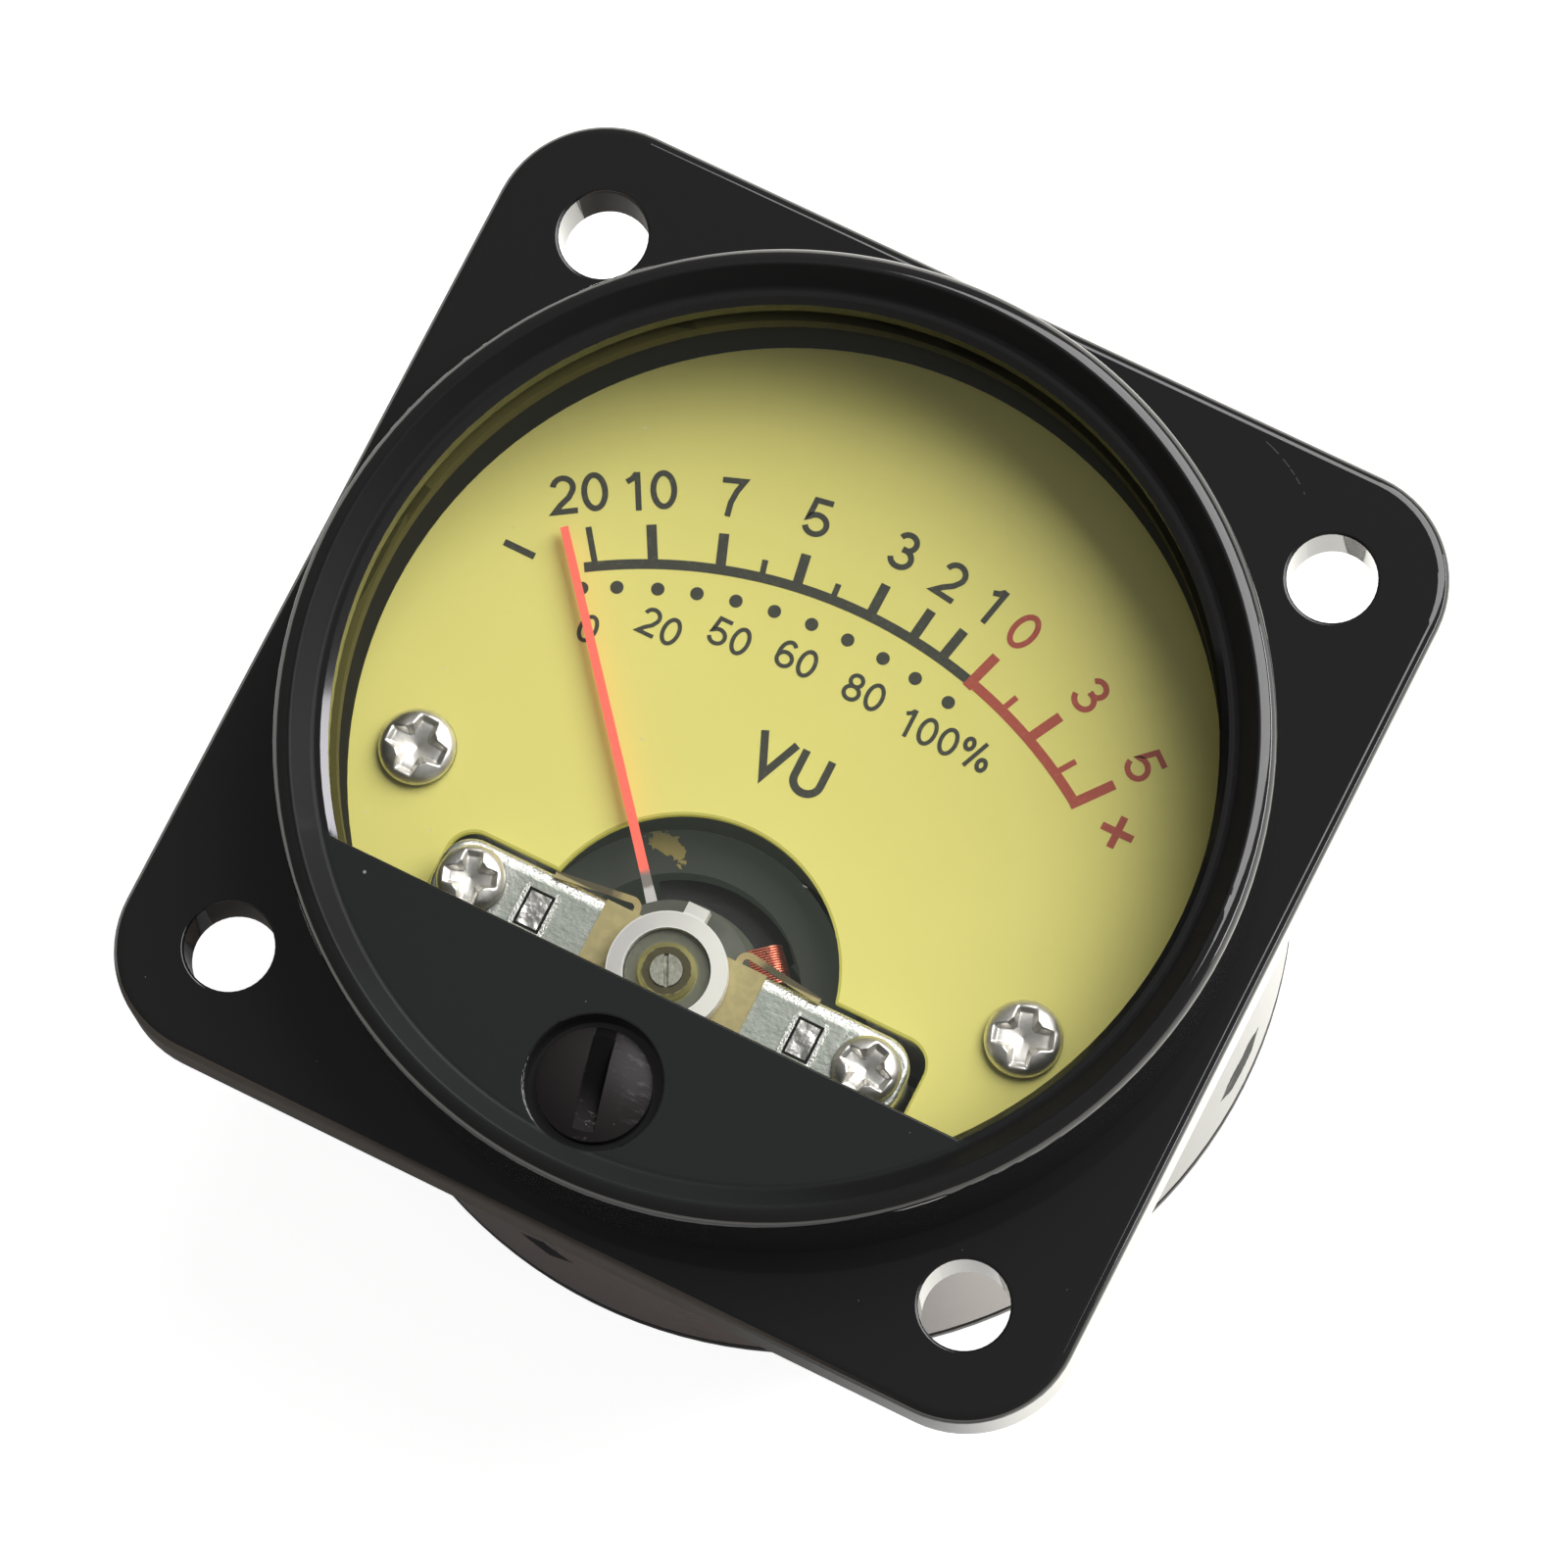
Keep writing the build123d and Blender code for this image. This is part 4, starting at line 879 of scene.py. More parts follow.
@dataclass(frozen=True)
class ClipStrip(Finish):
    """The spring clip: even tan plates, and darker arms beyond the bar's edge."""

    plate: Colour = (0.43, 0.365, 0.165)
    arm: Colour = (0.115, 0.095, 0.050)
    bend: Colour = (0.46, 0.36, 0.16)
    bar_edge: float = -8.66
    bend_end: float = 3.3
    grain: Grain = Grain(2.6, 3.0, 0.6)

    def sockets(self, graph: ShaderGraph) -> Dict[str, Any]:
        """Tan on the bar, bronze at the bend, dark olive along the arm.

        Args:
            graph: the material's tree.

        Returns:
            The Principled shader's inputs.
        """
        place = graph.place()
        across, up, _ = place.parts()
        grain = graph.noise(place, self.grain)
        off_bar = up.rise(self.bar_edge, self.bar_edge + 0.08)
        along = (abs(across) + (grain - 0.5) * 0.8).rise(self.bend_end - 0.3, self.bend_end + 0.5)
        strip = graph.blend(along, self.bend, self.arm)
        paler = tuple(part * 1.16 for part in self.plate)
        plate = graph.blend(grain.rise(0.35, 0.7), self.plate, paler)
        return {
            "Base Color": graph.blend(off_bar, plate, strip),
            "Metallic": 0.25,
            "Roughness": 0.52 + grain * 0.08 - off_bar * 0.16,
            "Normal": graph.bump(grain, 0.003),
        }


@dataclass(frozen=True)
class TurnedRings(Finish):
    """Metal turned in rings round the pivot: a band of each colour, and yellow light at one edge."""

    inner: Colour = (0.10, 0.088, 0.040)
    outer: Colour = (0.20, 0.205, 0.15)
    halo: Colour = (0.60, 0.54, 0.17)
    border: float = 1.04
    halo_inner: float = 1.04
    halo_outer: float = 1.42
    metallic: float = 0.6
    shaded_way: Point = (0.55, 0.85)
    shaded_span: Point = (1.0, -1.1)
    least_glow: float = 0.30
    fine: Grain = Grain(3.2, 4.0, 0.65)

    def sockets(self, graph: ShaderGraph) -> Dict[str, Any]:
        """Bands by the distance from the pivot, with a yellow ring that is stronger low on the left.

        Args:
            graph: the material's tree.

        Returns:
            The Principled shader's inputs.
        """
        place = graph.place() - (*PIVOT, 0.0)
        away = place.flat_length()
        fine = graph.noise(place, self.fine)
        wave = away + (fine - 0.5) * 0.16
        halo = wave.rise(self.halo_inner, self.halo_inner + 0.06)
        halo = halo * wave.rise(self.halo_outer, self.halo_outer - 0.22)
        low_left = place.along(self.shaded_way).rise(*self.shaded_span)
        halo = halo * (self.least_glow + low_left * (1.0 - self.least_glow))
        base = graph.blend(wave.across_edge(self.border, 0.02), self.inner, self.outer)
        return {
            "Base Color": graph.blend(halo, base, self.halo),
            "Metallic": self.metallic,
            "Roughness": 0.30 + fine * 0.12,
            "Normal": graph.bump(fine, 0.012),
        }


@dataclass(frozen=True)
class PointerPaint(Finish):
    """Fluorescent coral paint that ends a little above the hub, where the bare strip shows."""

    paint: Colour = (1.0, 0.16, 0.105)
    bare: Colour = (0.62, 0.60, 0.57)
    stained: Colour = (0.17, 0.145, 0.12)
    worn: Colour = (1.0, 0.27, 0.18)
    root: float = 4.95
    stain_end: float = 4.25
    glow: float = 0.16
    ragged: Grain = Grain(5.0)
    spots: Grain = Grain(6.0)

    def sockets(self, graph: ShaderGraph) -> Dict[str, Any]:
        """Paint outside a radius from the pivot, a stained stretch and the bare strip inside it.

        Args:
            graph: the material's tree.

        Returns:
            The Principled shader's inputs.
        """
        place = graph.place()
        arm = (place - (*PIVOT, 0.0)).flat_length()
        ragged = arm + (graph.noise(place, self.ragged) - 0.5) * 0.3
        painted = ragged.across_edge(self.root, 0.2)
        stain = ragged.across_edge(self.stain_end, 0.12)
        spots = graph.noise(place, self.spots)
        pale = graph.blend(stain * 0.85, self.bare, self.stained)
        paint = graph.blend(spots.rise(0.55, 0.75) * 0.35, self.paint, self.worn)
        return {
            "Base Color": graph.blend(painted, pale, paint),
            "Roughness": 0.42 + spots * 0.12,
            "Emission Color": graph.blend(painted, NO_LIGHT, self.paint),
            "Emission Strength": self.glow,
            "Normal": graph.bump(spots, 0.004),
        }


@dataclass(frozen=True)
class ScuffedDome(Finish):
    """The zero screw's black moulding: satin on one side, polished and scuffed on the other."""

    black: Colour = (0.0240, 0.0205, 0.0210)
    # Painted shade in the slot.
    slot: Colour = (0.002, 0.002, 0.002)
    scuffed: Colour = (0.22, 0.22, 0.21)
    centre: Point = (0.0, -16.65)
    slot_lean: float = 14.0
    slot_half: float = 0.475
    slot_shade: Point = (-2.2, 0.2)
    worn_way: Point = (0.8, 0.6)
    worn_span: Point = (0.5, 1.9)
    scuffs: Grain = Grain(1.6, 5.0, 0.7, (1.0, 2.6, 1.0))
    skin: Grain = Grain(8.0)
    dust: Specks = Specks(1.9, 0.07, 0.86)

    def sockets(self, graph: ShaderGraph) -> Dict[str, Any]:
        """A satin dome with short curved scuffs on its far side and painted shade in the slot.

        Args:
            graph: the material's tree.

        Returns:
            The Principled shader's inputs.
        """
        place = graph.place() - (*self.centre, 0.0)
        up = place.parts()[1]
        lean = math.radians(self.slot_lean)
        aside = abs(place.along((math.cos(lean), math.sin(lean))))
        in_slot = aside.below(self.slot_half + 0.02) * graph.facing()[2].rise(0.97, 0.999)
        in_slot = in_slot.most(aside.below(self.slot_half - 0.03)) * up.rise(*self.slot_shade)
        side = place.along(self.worn_way).rise(*self.worn_span)
        scuffs = graph.noise(place, self.scuffs)
        worn = scuffs.rise(0.52, 0.66) * side
        in_low_slot = aside.below(self.slot_half) * up.below(-0.4) * scuffs.above(0.6)
        marks = (worn * 0.2).most(graph.specks(place, self.dust) * 0.8).most(in_low_slot * 0.5)
        dome = graph.blend(marks, self.black, self.scuffed)
        return {
            # Painted shade in the slot, deepest in its upper part.
            "Base Color": graph.blend(in_slot, dome, self.slot),
            "Roughness": 0.34 - side * 0.10 + scuffs * 0.14 + in_slot * 0.4,
            "Specular IOR Level": 0.12,
            "Normal": graph.bump(scuffs * side + graph.noise(place, self.skin) * 0.15, 0.03, 0.7),
        }


@dataclass(frozen=True)
class LampGlass(Finish):
    """A small lamp's clear warm glass."""

    colour: Colour = (1.0, 0.84, 0.52)
    cloud: Grain = Grain(0.8)

    def sockets(self, graph: ShaderGraph) -> Dict[str, Any]:
        """Thin warm glass, cloudier in places.

        Args:
            graph: the material's tree.

        Returns:
            The Principled shader's inputs.
        """
        cloud = graph.noise(graph.place(), self.cloud)
        return {"Base Color": self.colour, "Roughness": 0.06, "Alpha": 0.3 + cloud * 0.3}


class Look(Enum):
    """The finishes, by what they are on."""

    HOUSING = GlossMoulding("gloss_moulding")
    CAN = CanMoulding("can_moulding")
    COVER = PlainMoulding("cover_moulding", (0.016, 0.014, 0.014), (0.04, 0.035, 0.033), 0.42)
    SPACER = SpacerMoulding("spacer_moulding")
    WINDOW = ClearWindow("window_acrylic")
    DIAL = DialLacquer("dial_lacquer")
    DARK_INK = PrintInk("dark_ink")
    RED_INK = PrintInk("red_ink", (0.45, 0.085, 0.052), (0.56, 0.14, 0.08))
    NICKEL = PlatedMetal("nickel_plate", dent=0.05)
    SCREW = PlatedMetal("screw_plate", (0.90, 0.88, 0.83), (0.70, 0.67, 0.61), 0.33, 1.1, 0.14,
                        line_depth=0.004, dent=0.03, shaded_side=0.85)
    BRIDGE = BridgePlating("bridge_plating")
    POST = PlatedMetal("post_plate", (0.90, 0.88, 0.83), (0.34, 0.34, 0.31), 0.28, 2.6, 0.2,
                       line_depth=0.02, dent=0.16)
    CLIP = ClipStrip("clip_strip")
    BRONZE = PlatedMetal("bronze_strip", (0.50, 0.405, 0.20), (0.34, 0.29, 0.16), 0.42, 1.1, 0.16,
                         (1.0, 5.0, 1.0), 0.006)
    BRASS = PlatedMetal("turned_brass", (0.56, 0.48, 0.27), (0.26, 0.23, 0.13), 0.22, 1.5, 0.2)
    BUSH = TurnedRings("bush_metal")
    NUT = TurnedRings("nut_brass", (0.105, 0.090, 0.042), (0.34, 0.31, 0.13))
    JEWEL_SCREW = PlatedMetal("jewel_screw_metal", (0.56, 0.55, 0.46), (0.26, 0.26, 0.20), 0.34, 2.5, 0.2,
                              (3.0, 0.6, 1.0), 0.012)
    STEEL = PlatedMetal("plain_steel", (0.42, 0.42, 0.41), (0.24, 0.24, 0.24), 0.3, 0.6, 0.2)
    # The yoke and the magnet carry a faint painted glow.
    YOKE = StainedIron("blackened_iron", (0.012, 0.014, 0.010), (0.020, 0.022, 0.014), 0.6, 2.0, 0.004,
                       painted_glow=(0.021, 0.026, 0.020))
    TINNED = PlatedMetal("tinned_brass", (0.66, 0.66, 0.63), (0.42, 0.41, 0.38), 0.26, 0.7, 0.22)
    ALUMINIUM = PlatedMetal("bare_aluminium", (0.72, 0.72, 0.73), (0.5, 0.5, 0.51), 0.3, 0.8, 0.15)
    COPPER = PlatedMetal("enamelled_copper", (0.85, 0.33, 0.22), (0.62, 0.17, 0.11), 0.22, 2.0, 0.12)
    MAGNET = PlainMoulding("ground_magnet", (0.045, 0.050, 0.036), (0.07, 0.075, 0.055), 0.5, 3.0, 0.006,
                           painted_glow=(0.036, 0.040, 0.027))
    LEVER = LeverMoulding("lever_moulding")
    WASHER = PlainMoulding("washer_sheet", (0.085, 0.090, 0.070), (0.15, 0.155, 0.13), 0.35, 4.0, 0.005)
    LIGHT_BOX = PlainMoulding("light_box_moulding", (0.62, 0.62, 0.57), (0.75, 0.75, 0.70), 0.45)
    BLACK_HOLDER = PlainMoulding("holder_moulding", (0.02, 0.02, 0.02), (0.05, 0.05, 0.05), 0.4)
    POINTER = PointerPaint("pointer_paint")
    ZERO_SCREW = ScuffedDome("zero_screw_moulding")
    LAMP = LampGlass("lamp_glass")
    BOARD = PlainMoulding("board_laminate", (0.16, 0.085, 0.03), (0.26, 0.15, 0.06), 0.5, 2.5, 0.01)


# Meshes

class Piece:
    """Helpers that turn points into meshes and objects."""

    SHARPEST_MITRE = 0.35

    @staticmethod
    def add(name: str, data: bpy.types.ID) -> bpy.types.Object:
        """Puts data into the scene as an object at the origin."""
        made = bpy.data.objects.new(name, data)
        bpy.context.scene.collection.objects.link(made)
        return made

    @staticmethod
    def to_mesh(name: str, shape: bmesh.types.BMesh, smooth: bool = False) -> bpy.types.Mesh:
        """Turns a shape in millimetres into a mesh in metres.

        Args:
            name: the mesh's name.
            shape: the shape, freed here.
            smooth: whether its faces are shaded smooth.

        Returns:
            The mesh.
        """
        bmesh.ops.scale(shape, vec=(MM, MM, MM), verts=shape.verts)
        mesh = bpy.data.meshes.new(name)
        shape.to_mesh(mesh)
        shape.free()
        mesh.polygons.foreach_set("use_smooth", [smooth] * len(mesh.polygons))
        return mesh

    @classmethod
    def ribbon(cls, shape: bmesh.types.BMesh, stroke: Stroke, width: float, height: float) -> None:
        """Adds a flat stroke of even width along a line, with mitred corners.

        Args:
            shape: the mesh that gets it.
            stroke: whether the line is closed, and its points.
            width: the stroke's width.
            height: the level it lies on.
        """
        closed, points = stroke
        count = len(points)
        sides: List[Tuple[Any, Any]] = []
        for index in range(count):
            here = Vector(points[index])
            runs = []
            if closed or index:
                runs.append((here - Vector(points[index - 1])).normalized())
            if closed or index < count - 1:
                runs.append((Vector(points[(index + 1) % count]) - here).normalized())
            normals = [Vector((-run.y, run.x)) for run in runs]
            mitre = sum(normals, Vector((0.0, 0.0))).normalized()
            reach = 0.5 * width / max(cls.SHARPEST_MITRE, mitre.dot(normals[0]))
            left, right = here + mitre * reach, here - mitre * reach
            sides.append((shape.verts.new((*left, height)), shape.verts.new((*right, height))))
        for index in range(count if closed else count - 1):
            (left, right), (left_on, right_on) = sides[index], sides[(index + 1) % count]
            shape.faces.new((left, right, right_on, left_on))

    @staticmethod
    def bow(centre: Point, reach: Point, start: float, end: float, steps: int) -> List[Point]:
        """Points along part of an ellipse.

        Args:
            centre: the ellipse's centre.
            reach: its half width and half height.
            start: the first angle in degrees.
            end: the last angle in degrees.
            steps: how many runs.

        Returns:
            The points in order.
        """
        points = []
        for step in range(steps + 1):
            angle = math.radians(start + (end - start) * step / steps)
            points.append((centre[0] + reach[0] * math.cos(angle), centre[1] + reach[1] * math.sin(angle)))
        return points


class PieceTree(NodeGraph):
    """A geometry tree with named inputs that ends in real faces and one material."""

    def __init__(self, name: str, sockets: Sequence[Tuple[str, str]]) -> None:
        """Makes the tree.

        Args:
            name: the tree's name.
            sockets: each input's name and socket type, after the geometry.
        """
        super().__init__(bpy.data.node_groups.new(name, "GeometryNodeTree"))
        face = self.tree.interface
        face.new_socket("Geometry", in_out="INPUT", socket_type="NodeSocketGeometry")
        self.keys: Dict[str, str] = {}
        for label, kind in (*sockets, ("Finish", "NodeSocketMaterial")):
            self.keys[label] = face.new_socket(label, in_out="INPUT", socket_type=kind).identifier
        face.new_socket("Geometry", in_out="OUTPUT", socket_type="NodeSocketGeometry")
        self.given = self.node("NodeGroupInput").outputs

    def attribute(self, name: str) -> bpy.types.NodeSocket:
        """Reads a named number of the points."""
        made = self.node("GeometryNodeInputNamedAttribute", {"data_type": "FLOAT"}, {"Name": name})
        return made.outputs["Attribute"]

    def vector(self, x: Any, y: Any, z: Any) -> bpy.types.NodeSocket:
        """Puts three values together."""
        return self.node("ShaderNodeCombineXYZ", None, {0: x, 1: y, 2: z}).outputs[0]

    def copies(
        self, points: bpy.types.NodeSocket, pattern: bpy.types.NodeSocket, **more: bpy.types.NodeSocket,
    ) -> bpy.types.NodeSocket:
        """Puts the pattern on each point; its rotation and scale may be given too."""
        inputs = {"Points": points, "Instance": pattern, **more}
        return self.node("GeometryNodeInstanceOnPoints", None, inputs).outputs[0]

    def end(self, geometry: bpy.types.NodeSocket) -> None:
        """Closes the tree with real faces and the finish."""
        real = self.node("GeometryNodeRealizeInstances", None, {"Geometry": geometry}).outputs[0]
        inputs = {"Geometry": real, "Material": self.given["Finish"]}
        dressed = self.node("GeometryNodeSetMaterial", None, inputs).outputs[0]
        self.node("NodeGroupOutput", None, {0: dressed})

    def run(self, name: str, start: bpy.types.Mesh, look: Look, values: Dict[str, Any]) -> bpy.types.Object:
        """Runs the tree once and keeps the result as a plain mesh.

        Args:
            name: the piece's name.
            start: the mesh that the tree starts from.
            look: the piece's finish.
            values: the other inputs by name.

        Returns:
            The finished object.
        """
        holder = Piece.add(name + "_tree", start)
        modifier = holder.modifiers.new("tree", "NODES")
        modifier.node_group = self.tree
        for label, value in {**values, "Finish": look.value.build()}.items():
            modifier[self.keys[label]] = value
        holder.update_tag()
        graph = bpy.context.evaluated_depsgraph_get()
        mesh = bpy.data.meshes.new_from_object(holder.evaluated_get(graph))
        mesh.name = name
        bpy.data.objects.remove(holder)
        return Piece.add(name, mesh)


def point_mesh(
    name: str, places: Sequence[Sequence[float]], values: Dict[str, List[float]],
) -> bpy.types.Mesh:
    """Makes a mesh of loose points that carry numbers.

    Args:
        name: the mesh's name.
        places: the points in millimetres.
        values: a number for each point, by attribute name.

    Returns:
        The mesh, in metres.
    """
    mesh = bpy.data.meshes.new(name)
    mesh.from_pydata([[part * MM for part in place] for place in places], [], [])
    for label, numbers in values.items():
        mesh.attributes.new(label, "FLOAT", "POINT").data.foreach_set("value", numbers)
    return mesh


# The dial's print

class Figures:
    """Plain upright figures drawn as strokes, one unit high."""

    STEM = 0.0675

    @classmethod
    def glyph(cls, letter: str) -> Tuple[float, List[Stroke]]:
        """One figure's advance and strokes.

        Args:
            letter: the figure.

        Returns:
            How far the next figure stands off, and the strokes.
        """
        low, high = cls.STEM, 1.0 - cls.STEM
        bow = Piece.bow
        shapes: Dict[str, Tuple[float, List[Stroke]]] = {
            "0": (0.777, [(True, bow((0.387, 0.5), (0.262, 0.4325), 90, -260, 34))]),
            "1": (0.70, [
                (False, [(0.44, 0.0), (0.44, 1.0)]),
                (False, [(0.17, 0.76), (0.32, 0.84), (0.42, 0.97)]),
            ]),
            "2": (0.777, [(False, [
                *bow((0.378, 0.690), (0.252, 0.2425), 172, -28, 18), (0.50, 0.42), (0.28, 0.24),
                (0.125, low), (0.703, low),
            ])]),
            "3": (0.777, [
                (False, [*bow((0.365, 0.725), (0.222, 0.2075), 163, -82, 18), (0.31, 0.5175)]),
                (False, [(0.31, 0.5325), *bow((0.372, 0.300), (0.268, 0.2325), 84, -164, 20)]),
            ]),
            "5": (0.777, [(False, [
                (0.66, high), (0.225, high), (0.150, 0.475),
                *bow((0.372, 0.318), (0.272, 0.2505), 138, -162, 22),
            ])]),
            "6": (0.777, [
                (True, bow((0.396, 0.312), (0.262, 0.2445), 90, -260, 26)),
                (False, [*bow((0.408, 0.50), (0.277, 0.4325), 48, 190, 18), (0.135, 0.31)]),
            ]),
            "7": (0.777, [(False, [(0.085, high), (0.645, high), (0.47, 0.66), (0.35, 0.36), (0.30, 0.0)])]),
            "8": (0.777, [
                (True, bow((0.387, 0.732), (0.212, 0.2005), 90, -260, 24)),
                (True, bow((0.387, 0.300), (0.262, 0.2325), 90, -260, 26)),
            ]),
            "%": (1.242, [
                (True, bow((0.29, 0.745), (0.145, 0.19), 90, -260, 18)),
                (True, bow((0.955, 0.255), (0.145, 0.19), 90, -260, 18)),
                (False, [(0.83, 1.0), (0.415, 0.0)]),
            ]),
            "V": (0.94, [(False, [(0.06, 1.0), (0.465, 0.05), (0.87, 1.0)])]),
            "U": (1.009, [(False, [
                (0.178, 1.0), *bow((0.50, 0.365), (0.322, 0.2975), 180, 360, 16), (0.822, 1.0),
            ])]),
            "+": (0.86, [(False, [(0.43, 0.08), (0.43, 0.92)]), (False, [(0.01, 0.5), (0.85, 0.5)])]),
            "-": (0.86, [(False, [(0.01, 0.5), (0.85, 0.5)])]),
        }
        return shapes[letter]

    @classmethod
    def strokes(cls, words: str) -> List[Stroke]:
        """All strokes of a short word, centred on the origin.

        Args:
            words: the figures.

        Returns:
            The strokes, one unit high.
        """
        gathered: List[Stroke] = []
        shift = 0.0
        for letter in words:
            advance, strokes = cls.glyph(letter)
            gathered += [(closed, [(x + shift, y) for x, y in line]) for closed, line in strokes]
            shift += advance
        across = [x for _, line in gathered for x, _ in line]
        middle = 0.5 * (min(across) + max(across))
        return [(closed, [(x - middle, y - 0.5) for x, y in line]) for closed, line in gathered]


@dataclass(frozen=True)
class Label:
    """One printed figure: what it says, where its middle is, its height, stroke and turn in radians."""

    words: str
    middle: Point
    height: float = 1.72
    stroke: float = 0.255
    turn: Optional[float] = None

    def lines(self) -> List[Stroke]:
        """The label's strokes in their place, turned with the arc unless a turn is given.

        Returns:
            The strokes in millimetres.
        """
        x, y = self.middle
        lean = self.turn if self.turn is not None else -math.atan2(x - PIVOT[0], y - PIVOT[1])
        cosine, sine = math.cos(lean) * self.height, math.sin(lean) * self.height
        return [
            (closed, [(x + cosine * u - sine * v, y + sine * u + cosine * v) for u, v in line])
            for closed, line in Figures.strokes(self.words)
        ]


@dataclass
class DialPrint:
    """The scale: ticks, dots, arc and figures in two inks."""

    arc_centre: Point = (0.0, -14.1)
    arc_radius: float = 21.75
    arc_width: float = 0.44
    arc_start: float = -38.6
    arc_change: float = 17.5
    arc_end: float = 38.9
    arc_steps: int = 60
    main_stroke: float = 0.44
    fine_stroke: float = 0.26
    dot_centre: Point = (-0.1, -16.8)
    dot_radius: float = 23.1
    dot_size: float = 0.29
    dot_sides: int = 28
    dot_turns: Tuple[float, ...] = (-39.5, -34.7, -29.0, -23.4, -17.7, -11.9, -6.1, -0.3, 5.6, 11.2, 17.2)
    dark_ticks: Tuple[Tick, ...] = (
        (-37.1, 18.9, 20.55, False), (-29.5, 18.6, 20.3, True), (-20.5, 18.3, 19.95, True),
        (-14.8, 18.2, 19.05, False), (-9.9, 18.1, 19.7, True), (-4.7, 18.1, 18.9, False),
        (0.9, 18.1, 19.7, True), (7.5, 18.15, 19.7, True), (12.3, 18.1, 19.8, True),
    )
    red_ticks: Tuple[Tick, ...] = (
        (17.5, 18.0, 19.85, True), (23.1, 18.4, 19.25, False), (28.4, 18.45, 20.2, True),
        (34.2, 18.9, 19.7, False), (38.9, 18.6, 20.7, True),
    )
    dark_labels: Tuple[Label, ...] = (
        Label("20", (-13.43, 7.05), turn=0.56), Label("10", (-10.71, 8.51)), Label("7", (-7.42, 9.77)),
        Label("5", (-3.66, 10.58)), Label("3", (0.34, 10.88)), Label("2", (2.80, 10.57)),
        Label("1", (4.72, 10.40)), Label("-", (-14.62, 3.71), 1.75, 0.3, 0.0),
        Label("0", (-10.35, 1.87), *SMALL_PRINT), Label("20", (-7.58, 3.31), *SMALL_PRINT),
        Label("50", (-4.70, 4.23), *SMALL_PRINT), Label("60", (-1.67, 4.60), *SMALL_PRINT),
        Label("80", (1.59, 4.55), *SMALL_PRINT), Label("100%", (5.67, 4.19), *SMALL_PRINT),
        Label("VU", (0.15, 0.26), 1.9, 0.345, 0.0),
    )
    red_labels: Tuple[Label, ...] = (
        Label("0", (6.54, 9.94)), Label("3", (10.35, 8.68)), Label("5", (13.79, 6.91)),
        Label("+", (14.04, 3.79), 1.75, 0.33, 0.0),
    )

    @staticmethod
    def tick_tree() -> PieceTree:
        """The tree that lays a bar on each point, by its turn, length and width."""
        tree = PieceTree("tick_bars", [("Unit", "NodeSocketFloat")])
        unit = tree.given["Unit"]
        inputs = {"Size X": unit, "Size Y": unit, "Vertices X": 2, "Vertices Y": 3}
        bar = tree.node("GeometryNodeMeshGrid", None, inputs)
        turn = tree.vector(0.0, 0.0, tree.attribute("turn"))
        size = tree.vector(tree.attribute("width"), tree.attribute("span"), 1.0)
        tree.end(tree.copies(tree.given["Geometry"], bar.outputs["Mesh"], Rotation=turn, Scale=size))
        return tree

    def dot_tree(self) -> PieceTree:
        """The tree that lays a round dot on each point."""
        tree = PieceTree("scale_dots", [("Size", "NodeSocketFloat")])
        inputs = {"Vertices": self.dot_sides, "Radius": tree.given["Size"]}
        dot = tree.node("GeometryNodeMeshCircle", {"fill_type": "NGON"}, inputs)
        tree.end(tree.copies(tree.given["Geometry"], dot.outputs["Mesh"]))
        return tree

    def ticks(self, name: str, rows: Sequence[Tick], look: Look) -> None:
        """Lays the ticks of one ink.

        Args:
            name: the piece's name.
            rows: each tick's angle, inner and outer radius, and whether it is a main one.
            look: the ink.
        """
        level = DIAL_TOP + PRINT_LIFT + LAYER_LIFT
        places, turns, spans, widths = [], [], [], []
        for angle, inner, outer, main_tick in rows:
            lean = math.radians(angle)
            middle = 0.5 * (inner + outer)
            places.append((PIVOT[0] + middle * math.sin(lean), PIVOT[1] + middle * math.cos(lean), level))
            turns.append(-lean)
            spans.append(outer - inner)
            widths.append(self.main_stroke if main_tick else self.fine_stroke)
        start = point_mesh(name + "_points", places, {"turn": turns, "span": spans, "width": widths})
        made = self.tick_tree().run(name, start, look, {"Unit": MM})
        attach(made, "housing")
        log.info("%s: %d ticks", name, len(rows))

    def dots(self) -> None:
        """Lays the dots under the arc."""
        level = DIAL_TOP + PRINT_LIFT
        centre = Vector(self.dot_centre)
        ways = [self.meet(angle, centre, self.dot_radius) for angle in self.dot_turns]
        places = [(*(Vector(PIVOT) + way), level) for way in ways]
        start = point_mesh("scale_dot_points", places, {})
        made = self.dot_tree().run("scale_dots", start, Look.DARK_INK, {"Size": self.dot_size * MM})
        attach(made, "housing")
        log.info("scale_dots: %d dots", len(places))

    @staticmethod
    def meet(angle: float, centre: Vector, radius: float) -> Vector:
        """Where a line from the pivot meets a circle.

        Args:
            angle: the line's angle from dial-up, clockwise, in degrees.
            centre: the circle's centre.
            radius: the circle's radius.

        Returns:
            The way to that place from the pivot.
        """
        lean = math.radians(angle)
        run = Vector((math.sin(lean), math.cos(lean)))
        away = Vector(PIVOT) - centre
        along = -run.dot(away) + math.sqrt(run.dot(away) ** 2 + radius ** 2 - away.dot(away))
        return run * along

    def arc_angle(self, angle: float) -> float:
        """The arc's own angle, in degrees from across, where a line from the pivot meets it."""
        centre = Vector(self.arc_centre)
        met = Vector(PIVOT) - centre + self.meet(angle, centre, self.arc_radius)
        return math.degrees(math.atan2(met.y, met.x))

